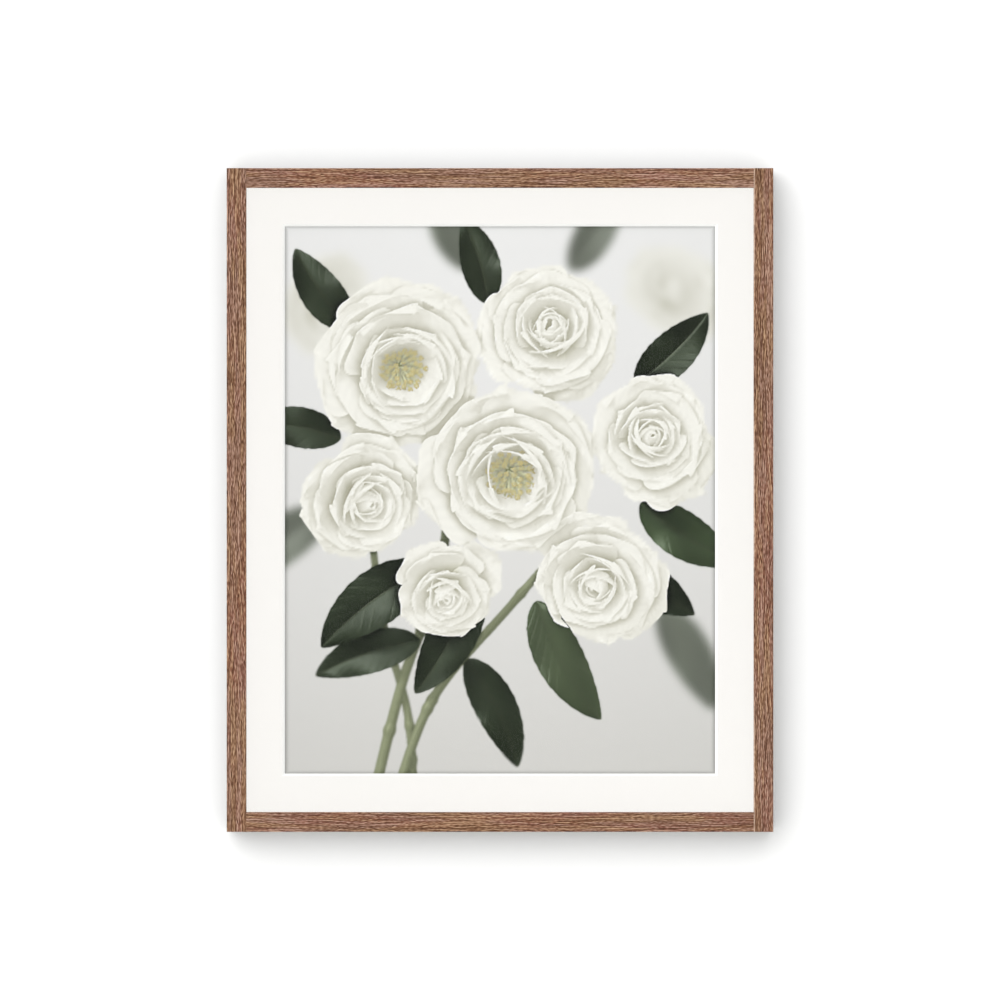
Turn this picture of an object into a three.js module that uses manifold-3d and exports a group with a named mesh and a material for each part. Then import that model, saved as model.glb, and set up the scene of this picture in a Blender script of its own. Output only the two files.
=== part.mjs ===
// Framed wall print, hung portrait way up.
//
// Axes: +X to the right, +Y towards the wall, +Z up, in millimetres. The origin is the hanging
// point: the middle notch of the sawtooth hanger, in the plane of the frame's back. Everything is
// laid out from the centre of the picture, in a group that hangs below that point.
//
// Two upright stiles run the full height, and two rails are butted between them. Each member has a
// rabbet, and behind its lip lie the glazing, the window mat, the printed sheet and the backing
// board, held in by flexible steel points.

import * as THREE from 'three';
import Module from 'manifold-3d';
import { ConvexGeometry } from 'three/addons/geometries/ConvexGeometry.js';
import { mergeVertices } from 'three/addons/utils/BufferGeometryUtils.js';

// Driving dimensions ------------------------------------------------------------------------------

const inch = 25.4;
const pictureWidth = 11 * inch;
const pictureHeight = 14 * inch;
const matBorder = 1 * inch; // mat round the picture, out to the wood
const faceWidth = 0.5 * inch; // wood that shows from the front
const windowWidth = pictureWidth + 1.0; // the mat's window, cut a little larger than the picture
const windowHeight = pictureHeight + 2.0;
const sightWidth = pictureWidth + 2 * matBorder; // clear opening inside the wood
const sightHeight = pictureHeight + 2 * matBorder;
const frameWidth = sightWidth + 2 * faceWidth;
const frameHeight = sightHeight + 2 * faceWidth;

const frameDepth = 22;
const lipDepth = 4; // wood in front of the glazing
const wallThickness = 8; // wood outside the rabbet
const rabbetWidth = faceWidth - wallThickness;
const edgeRound = 0.6; // radius of the eased edges

const glazingThickness = 2;
const matThickness = 1.5;
const sheetThickness = 0.25;
const boardThickness = 3;
const stackClearance = 0.75; // between the stack's edges and the rabbet walls

// Planes across the depth, from the front of the frame to its back at y = 0.
const frontY = -frameDepth;
const glazingY = frontY + lipDepth;
const matY = glazingY + glazingThickness;
const sheetY = matY + matThickness;
const boardY = sheetY + sheetThickness;
const boardBackY = boardY + boardThickness;

// Rabbet walls, and the edges of the stack that lies between them.
const rabbetX = frameWidth / 2 - wallThickness;
const rabbetZ = frameHeight / 2 - wallThickness;
const stackWidth = 2 * (rabbetX - stackClearance);
const stackHeight = 2 * (rabbetZ - stackClearance);

const flexPoint = {
  onRail: 3,
  onStile: 4,
  spacing: 108,
  bite: 6, // driven into the rabbet wall
  reach: 10, // over the backing board
  width: 7.5,
  thickness: 0.4,
  curlStart: 5, // from here on the tab curls away from the board
  curlRise: 1.1,
  tipLength: 3, // tapered tip in the wood
  endRound: 2.5,
  clearance: 0.1, // between the tab and its cut in the wood
};

const vNail = {
  armAcross: 3.2, // across the seam, each way
  armAlong: 3,
  fromEdge: 2.5, // apex, in from the frame's outer edge
  thickness: 0.5,
  length: 9,
  sink: 0.25, // below the back of the frame
  clearance: 0.1,
};

const hanger = {
  drop: 8.75, // from the frame's top edge down to the hanging point
  width: 42,
  top: 8, // above the hanging point
  thickness: 0.8,
  rise: 1.2, // gap behind the raised middle
  raisedHalf: 11.5,
  rampLength: 2,
  toothPitch: 3,
  toothDepth: 1.5,
  toothCount: 7,
  cornerRound: 2,
  nailX: 17,
  nailZ: 4.25, // above the hanging point
  nailHoleRadius: 0.85,
};
const hangZ = frameHeight / 2 - hanger.drop;

const nail = {
  headRadius: 1.7,
  headHeight: 0.6,
  crownRadius: 1, // flat of the slightly domed head
  shankRadius: 0.7,
  length: 9,
  tipLength: 1.5,
  pilotRadius: 0.78,
  pilotSpare: 0.25, // empty hole past the tip
};

const bumper = {
  radius: 3.75,
  thickness: 2.5,
  edgeRound: 0.9,
  fromBottom: 13, // centre above the frame's bottom edge
};

const arcSteps = 4; // segments in a quarter round or a curl
const weldDistance = 1e-4;
const pinSides = 16;
const padSides = 32;
const overcut = 1; // how far a cutter runs past the faces it opens

// Materials ---------------------------------------------------------------------------------------

const finish = (color, roughness, metalness = 0, extra = {}) =>
  new THREE.MeshStandardMaterial({ color, roughness, metalness, ...extra });

const wood = finish(0x926f5b, 0.6);
const clearGlass = finish(0xf4f8f7, 0.05, 0, { transparent: true, opacity: 0.15 });
const ivoryBoard = finish(0xfaf9f5, 0.95);
const printPaper = finish(0xe2e1dd, 0.85);
const hardboard = finish(0x8a6a4c, 0.8);
const darkSteel = finish(0x4b4c4e, 0.5, 0.9);
const brassedSteel = finish(0xb8975a, 0.35, 0.9);
const zincSteel = finish(0xa9abad, 0.4, 0.9);
const rubber = finish(0x3a3836, 0.9);

// Solids and places -------------------------------------------------------------------------------

const wasm = await Module();
wasm.setup();

// The solid that a closed geometry bounds, for joins and cuts.
function solidOf(geometry) {
  const bare = new THREE.BufferGeometry();
  bare.setAttribute('position', geometry.getAttribute('position'));
  bare.setIndex(geometry.getIndex());
  const welded = mergeVertices(bare, weldDistance);
  const mesh = new wasm.Mesh({
    numProp: 3,
    vertProperties: Float32Array.from(welded.getAttribute('position').array),
    triVerts: Uint32Array.from(welded.getIndex().array),
  });
  return new wasm.Manifold(mesh);
}

function geometryOf(solid) {
  const { vertProperties, triVerts } = solid.getMesh();
  const geometry = new THREE.BufferGeometry();
  geometry.setAttribute('position', new THREE.BufferAttribute(vertProperties, 3));
  geometry.setIndex(new THREE.BufferAttribute(triVerts, 1));
  geometry.computeVertexNormals();
  return geometry;
}

// Where a piece sits: its place, and its turn about the depth axis.
const seat = (x, y, z, turn = 0) => ({ x, y, z, turn });

function inPlace(geometry, { x, y, z, turn }) {
  const matrix = new THREE.Matrix4().makeRotationY(turn).setPosition(x, y, z);
  return geometry.clone().applyMatrix4(matrix);
}

// A solid less its cutters, each a [geometry, seat] pair.
const cut = (solid, cutters) =>
  cutters.reduce((left, [geometry, place]) => left.subtract(solidOf(inPlace(geometry, place))), solid);

function meshOf(name, material, geometry, place = seat(0, 0, 0)) {
  const mesh = new THREE.Mesh(geometry, material);
  mesh.name = name;
  mesh.position.set(place.x, place.y, place.z);
  mesh.rotation.y = place.turn;
  return mesh;
}

// Turns about the depth axis that bring a piece's +X round to point inwards from each side.
const inwards = {
  left: 0,
  top: Math.PI / 2,
  right: Math.PI,
  bottom: -Math.PI / 2,
};

const outline = (points) => new THREE.Shape(points.map(([a, b]) => new THREE.Vector2(a, b)));

const extrude = (shape, depth) =>
  new THREE.ExtrudeGeometry(shape, { depth, bevelEnabled: false, curveSegments: arcSteps });

// A plate from fromY to toY with an outline given in X and Z.
const plate = (shape, fromY, toY) =>
  extrude(shape, toY - fromY).rotateX(Math.PI / 2).translate(0, toY, 0);

// A rectangular sheet, centred on the picture.
const panel = (width, height, fromY, toY) =>
  new THREE.BoxGeometry(width, toY - fromY, height).translate(0, (fromY + toY) / 2, 0);

// A round pin along Y.
const pin = (radius, fromY, toY) =>
  new THREE.CylinderGeometry(radius, radius, toY - fromY, pinSides).translate(0, (fromY + toY) / 2, 0);

// Offsets of evenly spaced pieces, centred on 0.
const spread = (count, spacing) =>
  Array.from({ length: count }, (_, index) => (index - (count - 1) / 2) * spacing);

// Flexible points ---------------------------------------------------------------------------------

const pointSeats = {
  top: spread(flexPoint.onRail, flexPoint.spacing)
    .map((x) => seat(x, boardBackY, rabbetZ, inwards.top)),
  right: spread(flexPoint.onStile, flexPoint.spacing)
    .map((z) => seat(rabbetX, boardBackY, -z, inwards.right)),
  bottom: spread(flexPoint.onRail, flexPoint.spacing)
    .map((x) => seat(-x, boardBackY, -rabbetZ, inwards.bottom)),
  left: spread(flexPoint.onStile, flexPoint.spacing)
    .map((z) => seat(-rabbetX, boardBackY, z, inwards.left)),
};

// A tab along X: its tapered tip is in the wood at negative X, and its free end curls towards +Y.
function pointGeometry() {
  const { bite, reach, width, thickness, curlStart, curlRise, tipLength, endRound } = flexPoint;
  const curl = Array.from({ length: arcSteps + 1 }, (_, step) => step / arcSteps)
    .map((t) => [curlStart + t * (reach - curlStart), curlRise * t * t]);
  const under = [[-bite, 0], ...curl];
  const over = [...under].reverse().map(([x, y]) => [x, y + thickness]);
  const strip = extrude(outline([...under, ...over]), width).translate(0, 0, -width / 2);

  const half = width / 2;
  const blank = new THREE.Shape();
  blank.moveTo(-bite, 0);
  blank.lineTo(tipLength - bite, -half);
  blank.lineTo(reach - endRound, -half);
  blank.absarc(reach - endRound, endRound - half, endRound, -Math.PI / 2, 0, false);
  blank.absarc(reach - endRound, half - endRound, endRound, 0, Math.PI / 2, false);
  blank.lineTo(tipLength - bite, half);
  const stamp = plate(blank, -overcut, curlRise + thickness + overcut);
  return geometryOf(solidOf(strip).intersect(solidOf(stamp)));
}

// The cut that a tab is driven into, open at the rabbet wall.
function pointSlot() {
  const { bite, width, thickness, clearance } = flexPoint;
  const end = -bite - clearance;
  const slot = new THREE.BoxGeometry(overcut - end, thickness + 2 * clearance, width + 2 * clearance);
  return slot.translate((overcut + end) / 2, thickness / 2, 0);
}

function flexPoints() {
  const tab = pointGeometry();
  const seats = [...pointSeats.top, ...pointSeats.right, ...pointSeats.bottom, ...pointSeats.left];
  return seats.map((place, index) =>
    meshOf(`flex_point_${String(index + 1).padStart(2, '0')}`, darkSteel, tab, place));
}

// V-nails -----------------------------------------------------------------------------------------

// One across each corner seam, apex outwards: the bottom two are turned half round.
const vNailZ = frameHeight / 2 - vNail.fromEdge;
const vNailSeats = {
  top_left: seat(-rabbetX, 0, vNailZ),
  top_right: seat(rabbetX, 0, vNailZ),
  bottom_left: seat(-rabbetX, 0, -vNailZ, Math.PI),
  bottom_right: seat(rabbetX, 0, -vNailZ, Math.PI),
};

// A chevron plate with its apex up and at the seat.
function chevron(grow, fromY, toY) {
  const { armAcross, armAlong, thickness } = vNail;
  const across = armAcross + grow;
  const half = thickness / 2 + grow;
  const shape = outline([
    [0, half],
    [-across, half - armAlong],
    [-across, -half - armAlong],
    [0, -half],
    [across, -half - armAlong],
    [across, half - armAlong],
  ]);
  return plate(shape, fromY, toY);
}

const vNailSlot = () =>
  chevron(vNail.clearance, -vNail.sink - vNail.length - vNail.clearance, overcut);

function vNails() {
  const leg = chevron(0, -vNail.sink - vNail.length, -vNail.sink);
  return Object.entries(vNailSeats).map(([corner, place]) =>
    meshOf(`corner_v_nail_${corner}`, zincSteel, leg, place));
}

// Sawtooth hanger and its nails -------------------------------------------------------------------

const nailSeats = {
  left: seat(-hanger.nailX, hanger.thickness, hangZ + hanger.nailZ),
  right: seat(hanger.nailX, hanger.thickness, hangZ + hanger.nailZ),
};

// Its middle notch is at the origin, its nailing ends lie on y = 0 and its middle stands off.
function hangerGeometry() {
  const { width, top, thickness, rise, raisedHalf, rampLength, toothPitch, toothCount } = hanger;
  const bottom = -hanger.toothDepth;
  const half = width / 2;
  const rampEnd = raisedHalf + rampLength;
  const under = [
    [-half, 0],
    [-rampEnd, 0],
    [-raisedHalf, rise],
    [raisedHalf, rise],
    [rampEnd, 0],
    [half, 0],
  ];
  const over = [...under].reverse().map(([x, y]) => [x, y + thickness]);
  const strip = extrude(outline([...under, ...over]), top - bottom).translate(0, 0, bottom);

  const round = hanger.cornerRound;
  const blank = new THREE.Shape();
  blank.moveTo(round - half, bottom);
  blank.lineTo((-toothCount / 2) * toothPitch, bottom);
  for (const x of spread(toothCount, toothPitch)) {
    blank.lineTo(x, 0);
    blank.lineTo(x + toothPitch / 2, bottom);
  }
  blank.lineTo(half - round, bottom);
  blank.absarc(half - round, bottom + round, round, -Math.PI / 2, 0, false);
  blank.absarc(half - round, top - round, round, 0, Math.PI / 2, false);
  blank.absarc(round - half, top - round, round, Math.PI / 2, Math.PI, false);
  blank.absarc(round - half, bottom + round, round, Math.PI, 1.5 * Math.PI, false);
  const stamp = plate(blank, -overcut, rise + thickness + overcut);

  const hole = pin(hanger.nailHoleRadius, -overcut, thickness + overcut);
  const body = solidOf(strip).intersect(solidOf(stamp));
  return geometryOf(cut(body, [
    [hole, seat(-hanger.nailX, 0, hanger.nailZ)],
    [hole, seat(hanger.nailX, 0, hanger.nailZ)],
  ]));
}

// A nail along Y with the underside of its head at y = 0.
function nailGeometry() {
  const { headRadius, headHeight, crownRadius, shankRadius, length, tipLength } = nail;
  const profile = [
    [0, -length],
    [shankRadius, tipLength - length],
    [shankRadius, 0],
    [headRadius, 0],
    [headRadius, headHeight / 2],
    [crownRadius, headHeight],
    [0, headHeight],
  ];
  return new THREE.LatheGeometry(profile.map(([r, y]) => new THREE.Vector2(r, y)), pinSides);
}

const pilotHole = () =>
  pin(nail.pilotRadius, -nail.length - nail.pilotSpare, overcut);

function hangingHardware() {
  const shape = nailGeometry();
  return [
    meshOf('sawtooth_hanger', brassedSteel, hangerGeometry(), seat(0, 0, hangZ)),
    meshOf('hanger_nail_left', zincSteel, shape, nailSeats.left),
    meshOf('hanger_nail_right', zincSteel, shape, nailSeats.right),
  ];
}

// Bumpers -----------------------------------------------------------------------------------------

function bumpers() {
  const { radius, thickness, edgeRound: round } = bumper;
  const profile = new THREE.Path();
  profile.moveTo(0, 0);
  profile.lineTo(radius, 0);
  profile.lineTo(radius, thickness - round);
  profile.absarc(radius - round, thickness - round, round, 0, Math.PI / 2, false);
  profile.lineTo(0, thickness);
  const pad = new THREE.LatheGeometry(profile.getPoints(arcSteps), padSides);
  const x = frameWidth / 2 - wallThickness / 2;
  const z = bumper.fromBottom - frameHeight / 2;
  return [
    meshOf('bumper_left', rubber, pad, seat(-x, 0, z)),
    meshOf('bumper_right', rubber, pad, seat(x, 0, z)),
  ];
}

// Frame members -----------------------------------------------------------------------------------

// A member's section: a is measured inwards from its outer edge, b is the depth.
function memberSection() {
  const shape = new THREE.Shape();
  shape.moveTo(edgeRound, frontY);
  shape.lineTo(faceWidth - edgeRound, frontY);
  shape.absarc(faceWidth - edgeRound, frontY + edgeRound, edgeRound, -Math.PI / 2, 0, false);
  shape.lineTo(faceWidth, glazingY);
  shape.lineTo(wallThickness, glazingY);
  shape.lineTo(wallThickness, 0);
  shape.lineTo(edgeRound, 0);
  shape.absarc(edgeRound, -edgeRound, edgeRound, Math.PI / 2, Math.PI, false);
  shape.lineTo(0, frontY + edgeRound);
  shape.absarc(edgeRound, frontY + edgeRound, edgeRound, Math.PI, 1.5 * Math.PI, false);
  return shape;
}

// A length of the section, with its outer edge on the depth axis and centred on it.
const memberLength = (length) => extrude(memberSection(), length).translate(0, 0, -length / 2);

// A rail's lip ends at the stiles' inner edges, and the wood behind it runs on into their rabbets.
function railLength() {
  const trim = new THREE.BoxGeometry(2 * faceWidth + overcut, lipDepth + overcut, rabbetWidth + overcut);
  const trimY = glazingY - (lipDepth + overcut) / 2;
  const trimZ = (sightWidth + rabbetWidth + overcut) / 2;
  const bar = solidOf(memberLength(2 * rabbetX));
  return geometryOf(cut(bar, [
    [trim, seat(0, trimY, trimZ)],
    [trim, seat(0, trimY, -trimZ)],
  ]));
}

const memberSeats = {
  left: seat(-frameWidth / 2, 0, 0, inwards.left),
  right: seat(frameWidth / 2, 0, 0, inwards.right),
  top: seat(0, 0, frameHeight / 2, inwards.top),
  bottom: seat(0, 0, -frameHeight / 2, inwards.bottom),
};

// A member in its place, with the cuts that its fasteners need.
function member(name, side, bar, cutters) {
  const solid = solidOf(inPlace(bar, memberSeats[side]));
  const slots = pointSeats[side].map((place) => [pointSlot(), place]);
  return meshOf(name, wood, geometryOf(cut(solid, [...slots, ...cutters])));
}

function frameMembers() {
  const stile = memberLength(frameHeight);
  const rail = railLength();
  const seams = (...names) => names.map((name) => [vNailSlot(), vNailSeats[name]]);
  const pilots = Object.values(nailSeats).map((place) => [pilotHole(), place]);
  return [
    member('stile_left', 'left', stile, seams('top_left', 'bottom_left')),
    member('stile_right', 'right', stile, seams('top_right', 'bottom_right')),
    member('rail_top', 'top', rail, [...seams('top_left', 'top_right'), ...pilots]),
    member('rail_bottom', 'bottom', rail, seams('bottom_left', 'bottom_right')),
  ];
}

// The stack in the rabbet -------------------------------------------------------------------------

// The window is cut at 45 degrees, wide at the front, so that its bevel shows.
function windowMat() {
  const board = solidOf(panel(stackWidth, stackHeight, matY, sheetY));
  const corners = [
    [matY - overcut, matThickness + overcut],
    [sheetY + overcut, -overcut],
  ].flatMap(([y, grow]) => {
    const x = windowWidth / 2 + grow;
    const z = windowHeight / 2 + grow;
    return [[x, z], [-x, z], [-x, -z], [x, -z]].map(([a, b]) => new THREE.Vector3(a, y, b));
  });
  return geometryOf(board.subtract(solidOf(new ConvexGeometry(corners))));
}

const stack = () => [
  meshOf('glazing', clearGlass, panel(stackWidth, stackHeight, glazingY, matY)),
  meshOf('window_mat', ivoryBoard, windowMat()),
  meshOf('print_sheet', printPaper, panel(stackWidth, stackHeight, sheetY, boardY)),
  meshOf('backing_board', hardboard, panel(stackWidth, stackHeight, boardY, boardBackY)),
];

// The whole print ---------------------------------------------------------------------------------

const framedPrint = new THREE.Group();
framedPrint.add(
  ...frameMembers(),
  ...stack(),
  ...flexPoints(),
  ...vNails(),
  ...hangingHardware(),
  ...bumpers(),
);
framedPrint.position.z = -hangZ;

export default framedPrint;
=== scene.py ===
"""The looks of a framed and matted wall print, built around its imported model.

Everything is in metres in the part's own frame: X to the right, Y towards the wall, Z up, with the
origin at the middle notch of the hanger. Names that end in _mm, and all lengths in the printed
design, are in millimetres.
"""

import logging
import math
from collections.abc import Callable, Iterator
from contextlib import contextmanager
from dataclasses import dataclass, field
from enum import Enum

import bmesh
import bpy
import numpy as np
from mathutils import Matrix, Vector


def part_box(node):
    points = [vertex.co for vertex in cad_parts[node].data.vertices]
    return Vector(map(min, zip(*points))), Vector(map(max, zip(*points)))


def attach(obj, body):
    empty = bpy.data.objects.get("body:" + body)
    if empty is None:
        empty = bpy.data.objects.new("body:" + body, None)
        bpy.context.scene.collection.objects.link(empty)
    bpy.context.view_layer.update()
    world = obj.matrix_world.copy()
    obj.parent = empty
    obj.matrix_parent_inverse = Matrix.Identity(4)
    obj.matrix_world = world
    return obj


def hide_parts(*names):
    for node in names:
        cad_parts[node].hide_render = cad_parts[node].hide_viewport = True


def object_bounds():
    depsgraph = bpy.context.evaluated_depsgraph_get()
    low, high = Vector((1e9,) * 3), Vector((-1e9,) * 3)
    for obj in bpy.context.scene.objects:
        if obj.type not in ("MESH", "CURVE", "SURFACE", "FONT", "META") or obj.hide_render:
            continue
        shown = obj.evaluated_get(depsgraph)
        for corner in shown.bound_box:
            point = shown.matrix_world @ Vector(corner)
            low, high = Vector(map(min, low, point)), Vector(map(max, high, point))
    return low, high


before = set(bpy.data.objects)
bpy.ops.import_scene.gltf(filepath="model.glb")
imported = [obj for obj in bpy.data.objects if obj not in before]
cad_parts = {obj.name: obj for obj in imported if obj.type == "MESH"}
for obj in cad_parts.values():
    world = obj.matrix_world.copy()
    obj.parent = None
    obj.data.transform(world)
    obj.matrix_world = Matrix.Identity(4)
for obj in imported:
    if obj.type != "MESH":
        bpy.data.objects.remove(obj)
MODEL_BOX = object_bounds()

log = logging.getLogger("wall_print")

MM = 0.001
GOLDEN_ANGLE = math.radians(137.508)
BODY = "root"
SMOOTHLY = {"interpolation_type": "SMOOTHSTEP"}  # how a Map Range node goes from one end to the other
COLOURS = {"data_type": "RGBA"}  # what a Mix node mixes

Sizes = tuple[float, float, float]
Test = Callable[[Vector, Vector | None], bool]
Feed = object  # what can feed an input: a number, a colour, a socket, or a node by its first output


# ------------------------------------------------------------------------------- small helpers


def mm(*lengths: float) -> Vector:
    """Returns millimetres as a vector in metres."""
    return Vector(lengths) * MM


def middle(node: str) -> Vector:
    """Returns the middle of a node's box."""
    low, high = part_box(node)
    return (Vector(low) + Vector(high)) / 2


def extent(node: str) -> Vector:
    """Returns the size of a node's box."""
    low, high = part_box(node)
    return Vector(high) - Vector(low)


def tint(colour: str) -> np.ndarray:
    """Returns an sRGB hex colour, such as "#926f5b", as three numbers from 0 to 1."""
    return np.array([int(colour[start : start + 2], 16) for start in (1, 3, 5)], np.float32) / 255


def linear(colour: np.ndarray | str) -> np.ndarray:
    """Turns sRGB colours into the linear ones that a shader takes.

    Args:
        colour: One as hex, or an array of them as numbers from 0 to 1.

    Returns:
        The colours, in the array's shape. One from hex also has an alpha of 1.
    """
    if isinstance(colour, str):
        return np.append(linear(tint(colour).astype(float)), 1.0)
    return np.where(colour <= 0.04045, colour / 12.92, ((colour + 0.055) / 1.055) ** 2.4)


def add(
    tree: bpy.types.NodeTree, kind: str, inputs: dict | tuple = (), **settings: object
) -> bpy.types.Node:
    """Adds a shader node with its settings and links.

    Args:
        tree: The node tree of a material or of the world.
        kind: The node's type, without the word ShaderNode.
        inputs: What feeds its inputs, by name or number or else in their own order.
        settings: The node's own properties.

    Returns:
        The node.
    """
    node = tree.nodes.new("ShaderNode" + kind)
    for name, value in settings.items():
        setattr(node, name, value)
    if isinstance(inputs, tuple):
        inputs = dict(enumerate(inputs))
    for name, value in inputs.items():
        if isinstance(value, bpy.types.Node):
            value = next(socket for socket in value.outputs if socket.enabled)
        if isinstance(value, bpy.types.NodeSocket):
            tree.links.new(value, node.inputs[name])
        else:
            node.inputs[name].default_value = value
    return node


def millimetres(tree: bpy.types.NodeTree) -> bpy.types.Node:
    """Returns the piece's own coordinates in millimetres."""
    place = {0: add(tree, "TexCoord").outputs["Object"], "Scale": 1 / MM}
    return add(tree, "VectorMath", place, operation="SCALE")


def cloud(
    tree: bpy.types.NodeTree, place: Feed, size_mm: float | Vector, shift: float, detail: float
) -> bpy.types.Node:
    """Makes a cloudy pattern with a real grain size.

    Args:
        tree: The node tree.
        place: The coordinates in millimetres.
        size_mm: How large one cloud is, in all or along X, Y and Z.
        shift: How far along to start, so that no two patterns are alike.
        detail: How many finer layers it has.

    Returns:
        The noise, from 0 to 1 round a middle of 0.5.
    """
    sizes = size_mm if isinstance(size_mm, Vector) else (size_mm,) * 3
    start = {"Location": (shift, shift * 0.7, shift * 1.3), "Scale": [1 / size for size in sizes]}
    spot = add(tree, "Mapping", {"Vector": place, **start})
    return add(tree, "TexNoise", {"Vector": spot, "Scale": 1.0, "Detail": detail, "Roughness": 0.6})


def textured(
    tree: bpy.types.NodeTree, relief: Feed, strength: float, depth_mm: float, looks: dict[str, Feed]
) -> bpy.types.Node:
    """Makes a surface with a fine relief.

    Args:
        tree: The node tree.
        relief: How high each spot stands, from 0 to 1.
        strength: How much the relief shows, from 0 to 1.
        depth_mm: How deep it is.
        looks: The surface's other inputs, by name.

    Returns:
        Its shader.
    """
    bump = add(tree, "Bump", {"Strength": strength, "Distance": depth_mm * MM, "Height": relief})
    return add(tree, "BsdfPrincipled", {**looks, "Normal": bump})


def alone(piece: bpy.types.Object) -> None:
    """Selects one piece and nothing else, and makes it the active one.

    Args:
        piece: The piece.
    """
    bpy.ops.object.select_all(action="DESELECT")
    piece.select_set(True)
    bpy.context.view_layer.objects.active = piece


def primitive(
    kind: str, name: str, at: Vector, stretch: Vector | tuple = (1, 1, 1), upright: bool = True, **own: float
) -> bpy.types.Object:
    """Adds a primitive and applies its place to its mesh.

    Args:
        kind: Such as plane or cylinder.
        name: What the new piece is called.
        at: Its middle.
        stretch: How much it is stretched along its own X, Y and Z.
        upright: Whether its own Z is then turned to face the front.
        own: The operator's own sizes and counts.

    Returns:
        The piece, selected.
    """
    turn = (math.pi / 2 if upright else 0, 0, 0)
    getattr(bpy.ops.mesh, f"primitive_{kind}_add")(location=at, rotation=turn, **own)
    piece = bpy.context.active_object
    piece.scale = stretch
    piece.name = piece.data.name = name
    alone(piece)
    bpy.ops.object.transform_apply(location=True, rotation=True, scale=True)
    return piece


@contextmanager
def editing(piece: bpy.types.Object, mode: str = "FACE") -> Iterator[None]:
    """Opens a piece in edit mode with nothing selected, and closes it again.

    Args:
        piece: The piece to shape.
        mode: What is selected in it: VERT, EDGE or FACE.

    Yields:
        Nothing, once the piece is open.
    """
    alone(piece)
    bpy.ops.object.mode_set(mode="EDIT")
    bpy.ops.mesh.select_mode(type=mode)
    bpy.ops.mesh.select_all(action="DESELECT")
    yield
    bpy.ops.object.mode_set(mode="OBJECT")


def pick(piece: bpy.types.Object, kind: str, test: Test) -> None:
    """Selects the parts of a mesh in edit mode that pass a test, and nothing else.

    Args:
        piece: The piece, open in edit mode.
        kind: verts, edges or faces.
        test: Is given the part's middle and its normal, which an edge doesn't have.
    """
    bpy.ops.mesh.select_all(action="DESELECT")
    mesh = bmesh.from_edit_mesh(piece.data)
    for part in getattr(mesh, kind):
        corners = [part] if kind == "verts" else part.verts
        centre = sum((corner.co for corner in corners), Vector()) / len(corners)
        if test(centre, getattr(part, "normal", None)):
            part.select_set(True)
    bmesh.update_edit_mesh(piece.data)


def extrude(
    move: Vector, resize: tuple[float, float, float] | None = None, about: Vector | None = None
) -> None:
    """Extrudes what is selected, and then resizes the new end.

    Args:
        move: How far the new end goes, in metres.
        resize: How much larger it gets along X, Y and Z.
        about: The point that it is resized from.
    """
    bpy.ops.mesh.extrude_region_move(TRANSFORM_OT_translate={"value": tuple(move)})
    if resize:
        bpy.ops.transform.resize(value=resize, center_override=tuple(about or Vector()))


def modified(piece: bpy.types.Object, kind: str, **settings: object) -> None:
    """Adds a modifier to a piece and applies it.

    Args:
        piece: The piece.
        kind: The modifier's type.
        settings: Its own properties.
    """
    alone(piece)
    modifier = piece.modifiers.new(kind.title(), kind)
    for name, value in settings.items():
        setattr(modifier, name, value)
    bpy.ops.object.modifier_apply(modifier=modifier.name)


def eased(piece: bpy.types.Object, width_mm: float, sharp: float, segments: int = 2) -> None:
    """Bevels the edges of a piece that turn by more than an angle.

    Args:
        piece: The piece.
        width_mm: How wide the bevel is.
        sharp: The angle, in radians.
        segments: How many faces round the bevel.
    """
    limit = {"limit_method": "ANGLE", "angle_limit": sharp}
    modified(piece, "BEVEL", width=width_mm * MM, segments=segments, **limit)


def smoothed(piece: bpy.types.Object, degrees: float = 35.0) -> None:
    """Shades a piece smooth, apart from its sharper edges."""
    alone(piece)
    bpy.ops.object.shade_smooth_by_angle(angle=math.radians(degrees))


def outwards(piece: bpy.types.Object) -> None:
    """Turns every face of a closed piece outwards.

    Args:
        piece: The piece.
    """
    with editing(piece):
        bpy.ops.mesh.select_all(action="SELECT")
        bpy.ops.mesh.normals_make_consistent(inside=False)


def gathered(parts: bpy.types.bpy_prop_collection, name: str, width: int) -> np.ndarray:
    """Reads one property of all the vertices or faces of a mesh.

    Args:
        parts: The vertices or the faces.
        name: The property.
        width: How many numbers it has.

    Returns:
        The numbers, with a row for each vertex or face.
    """
    values = np.empty(len(parts) * width)
    parts.foreach_get(name, values)
    return values.reshape(-1, width)


def settled(piece: bpy.types.Object, slot: str, node: str, *finishes: bpy.types.Material) -> None:
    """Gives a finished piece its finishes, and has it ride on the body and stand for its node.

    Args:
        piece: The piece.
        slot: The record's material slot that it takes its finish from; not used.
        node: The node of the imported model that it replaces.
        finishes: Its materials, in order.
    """
    for finish in finishes:
        piece.data.materials.append(finish)
    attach(piece, BODY)
    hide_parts(node)
    log.info("%s: %d faces, stands for %s", piece.name, len(piece.data.polygons), node)


def staged(piece: bpy.types.Object, finish: bpy.types.Material, *unmet: str) -> None:
    """Gives a piece of the room its finish, and hides it from some kinds of ray.

    Args:
        piece: The piece.
        finish: Its material.
        unmet: The kinds of ray that pass it, such as shadow or camera.
    """
    piece.data.materials.append(finish)
    for kind in unmet:
        setattr(piece, f"visible_{kind}", False)


def dressed(node: str, material: bpy.types.Material, shades: bool = True) -> None:
    """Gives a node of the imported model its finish.

    Args:
        node: The node's name.
        material: The finish.
        shades: False lets soft light pass, so that the node darkens nothing near it.
    """
    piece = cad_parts[node]
    for slot in piece.material_slots:
        slot.material = material
    if not shades:
        piece.visible_shadow = piece.visible_diffuse = False
    log.info("%s: dressed with %s", node, material.name)


# ------------------------------------------------------------------------------------ finishes


class Grain(Enum):
    """Which way the grain of a frame member runs."""

    UPRIGHT = "upright"
    LEVEL = "level"


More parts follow.
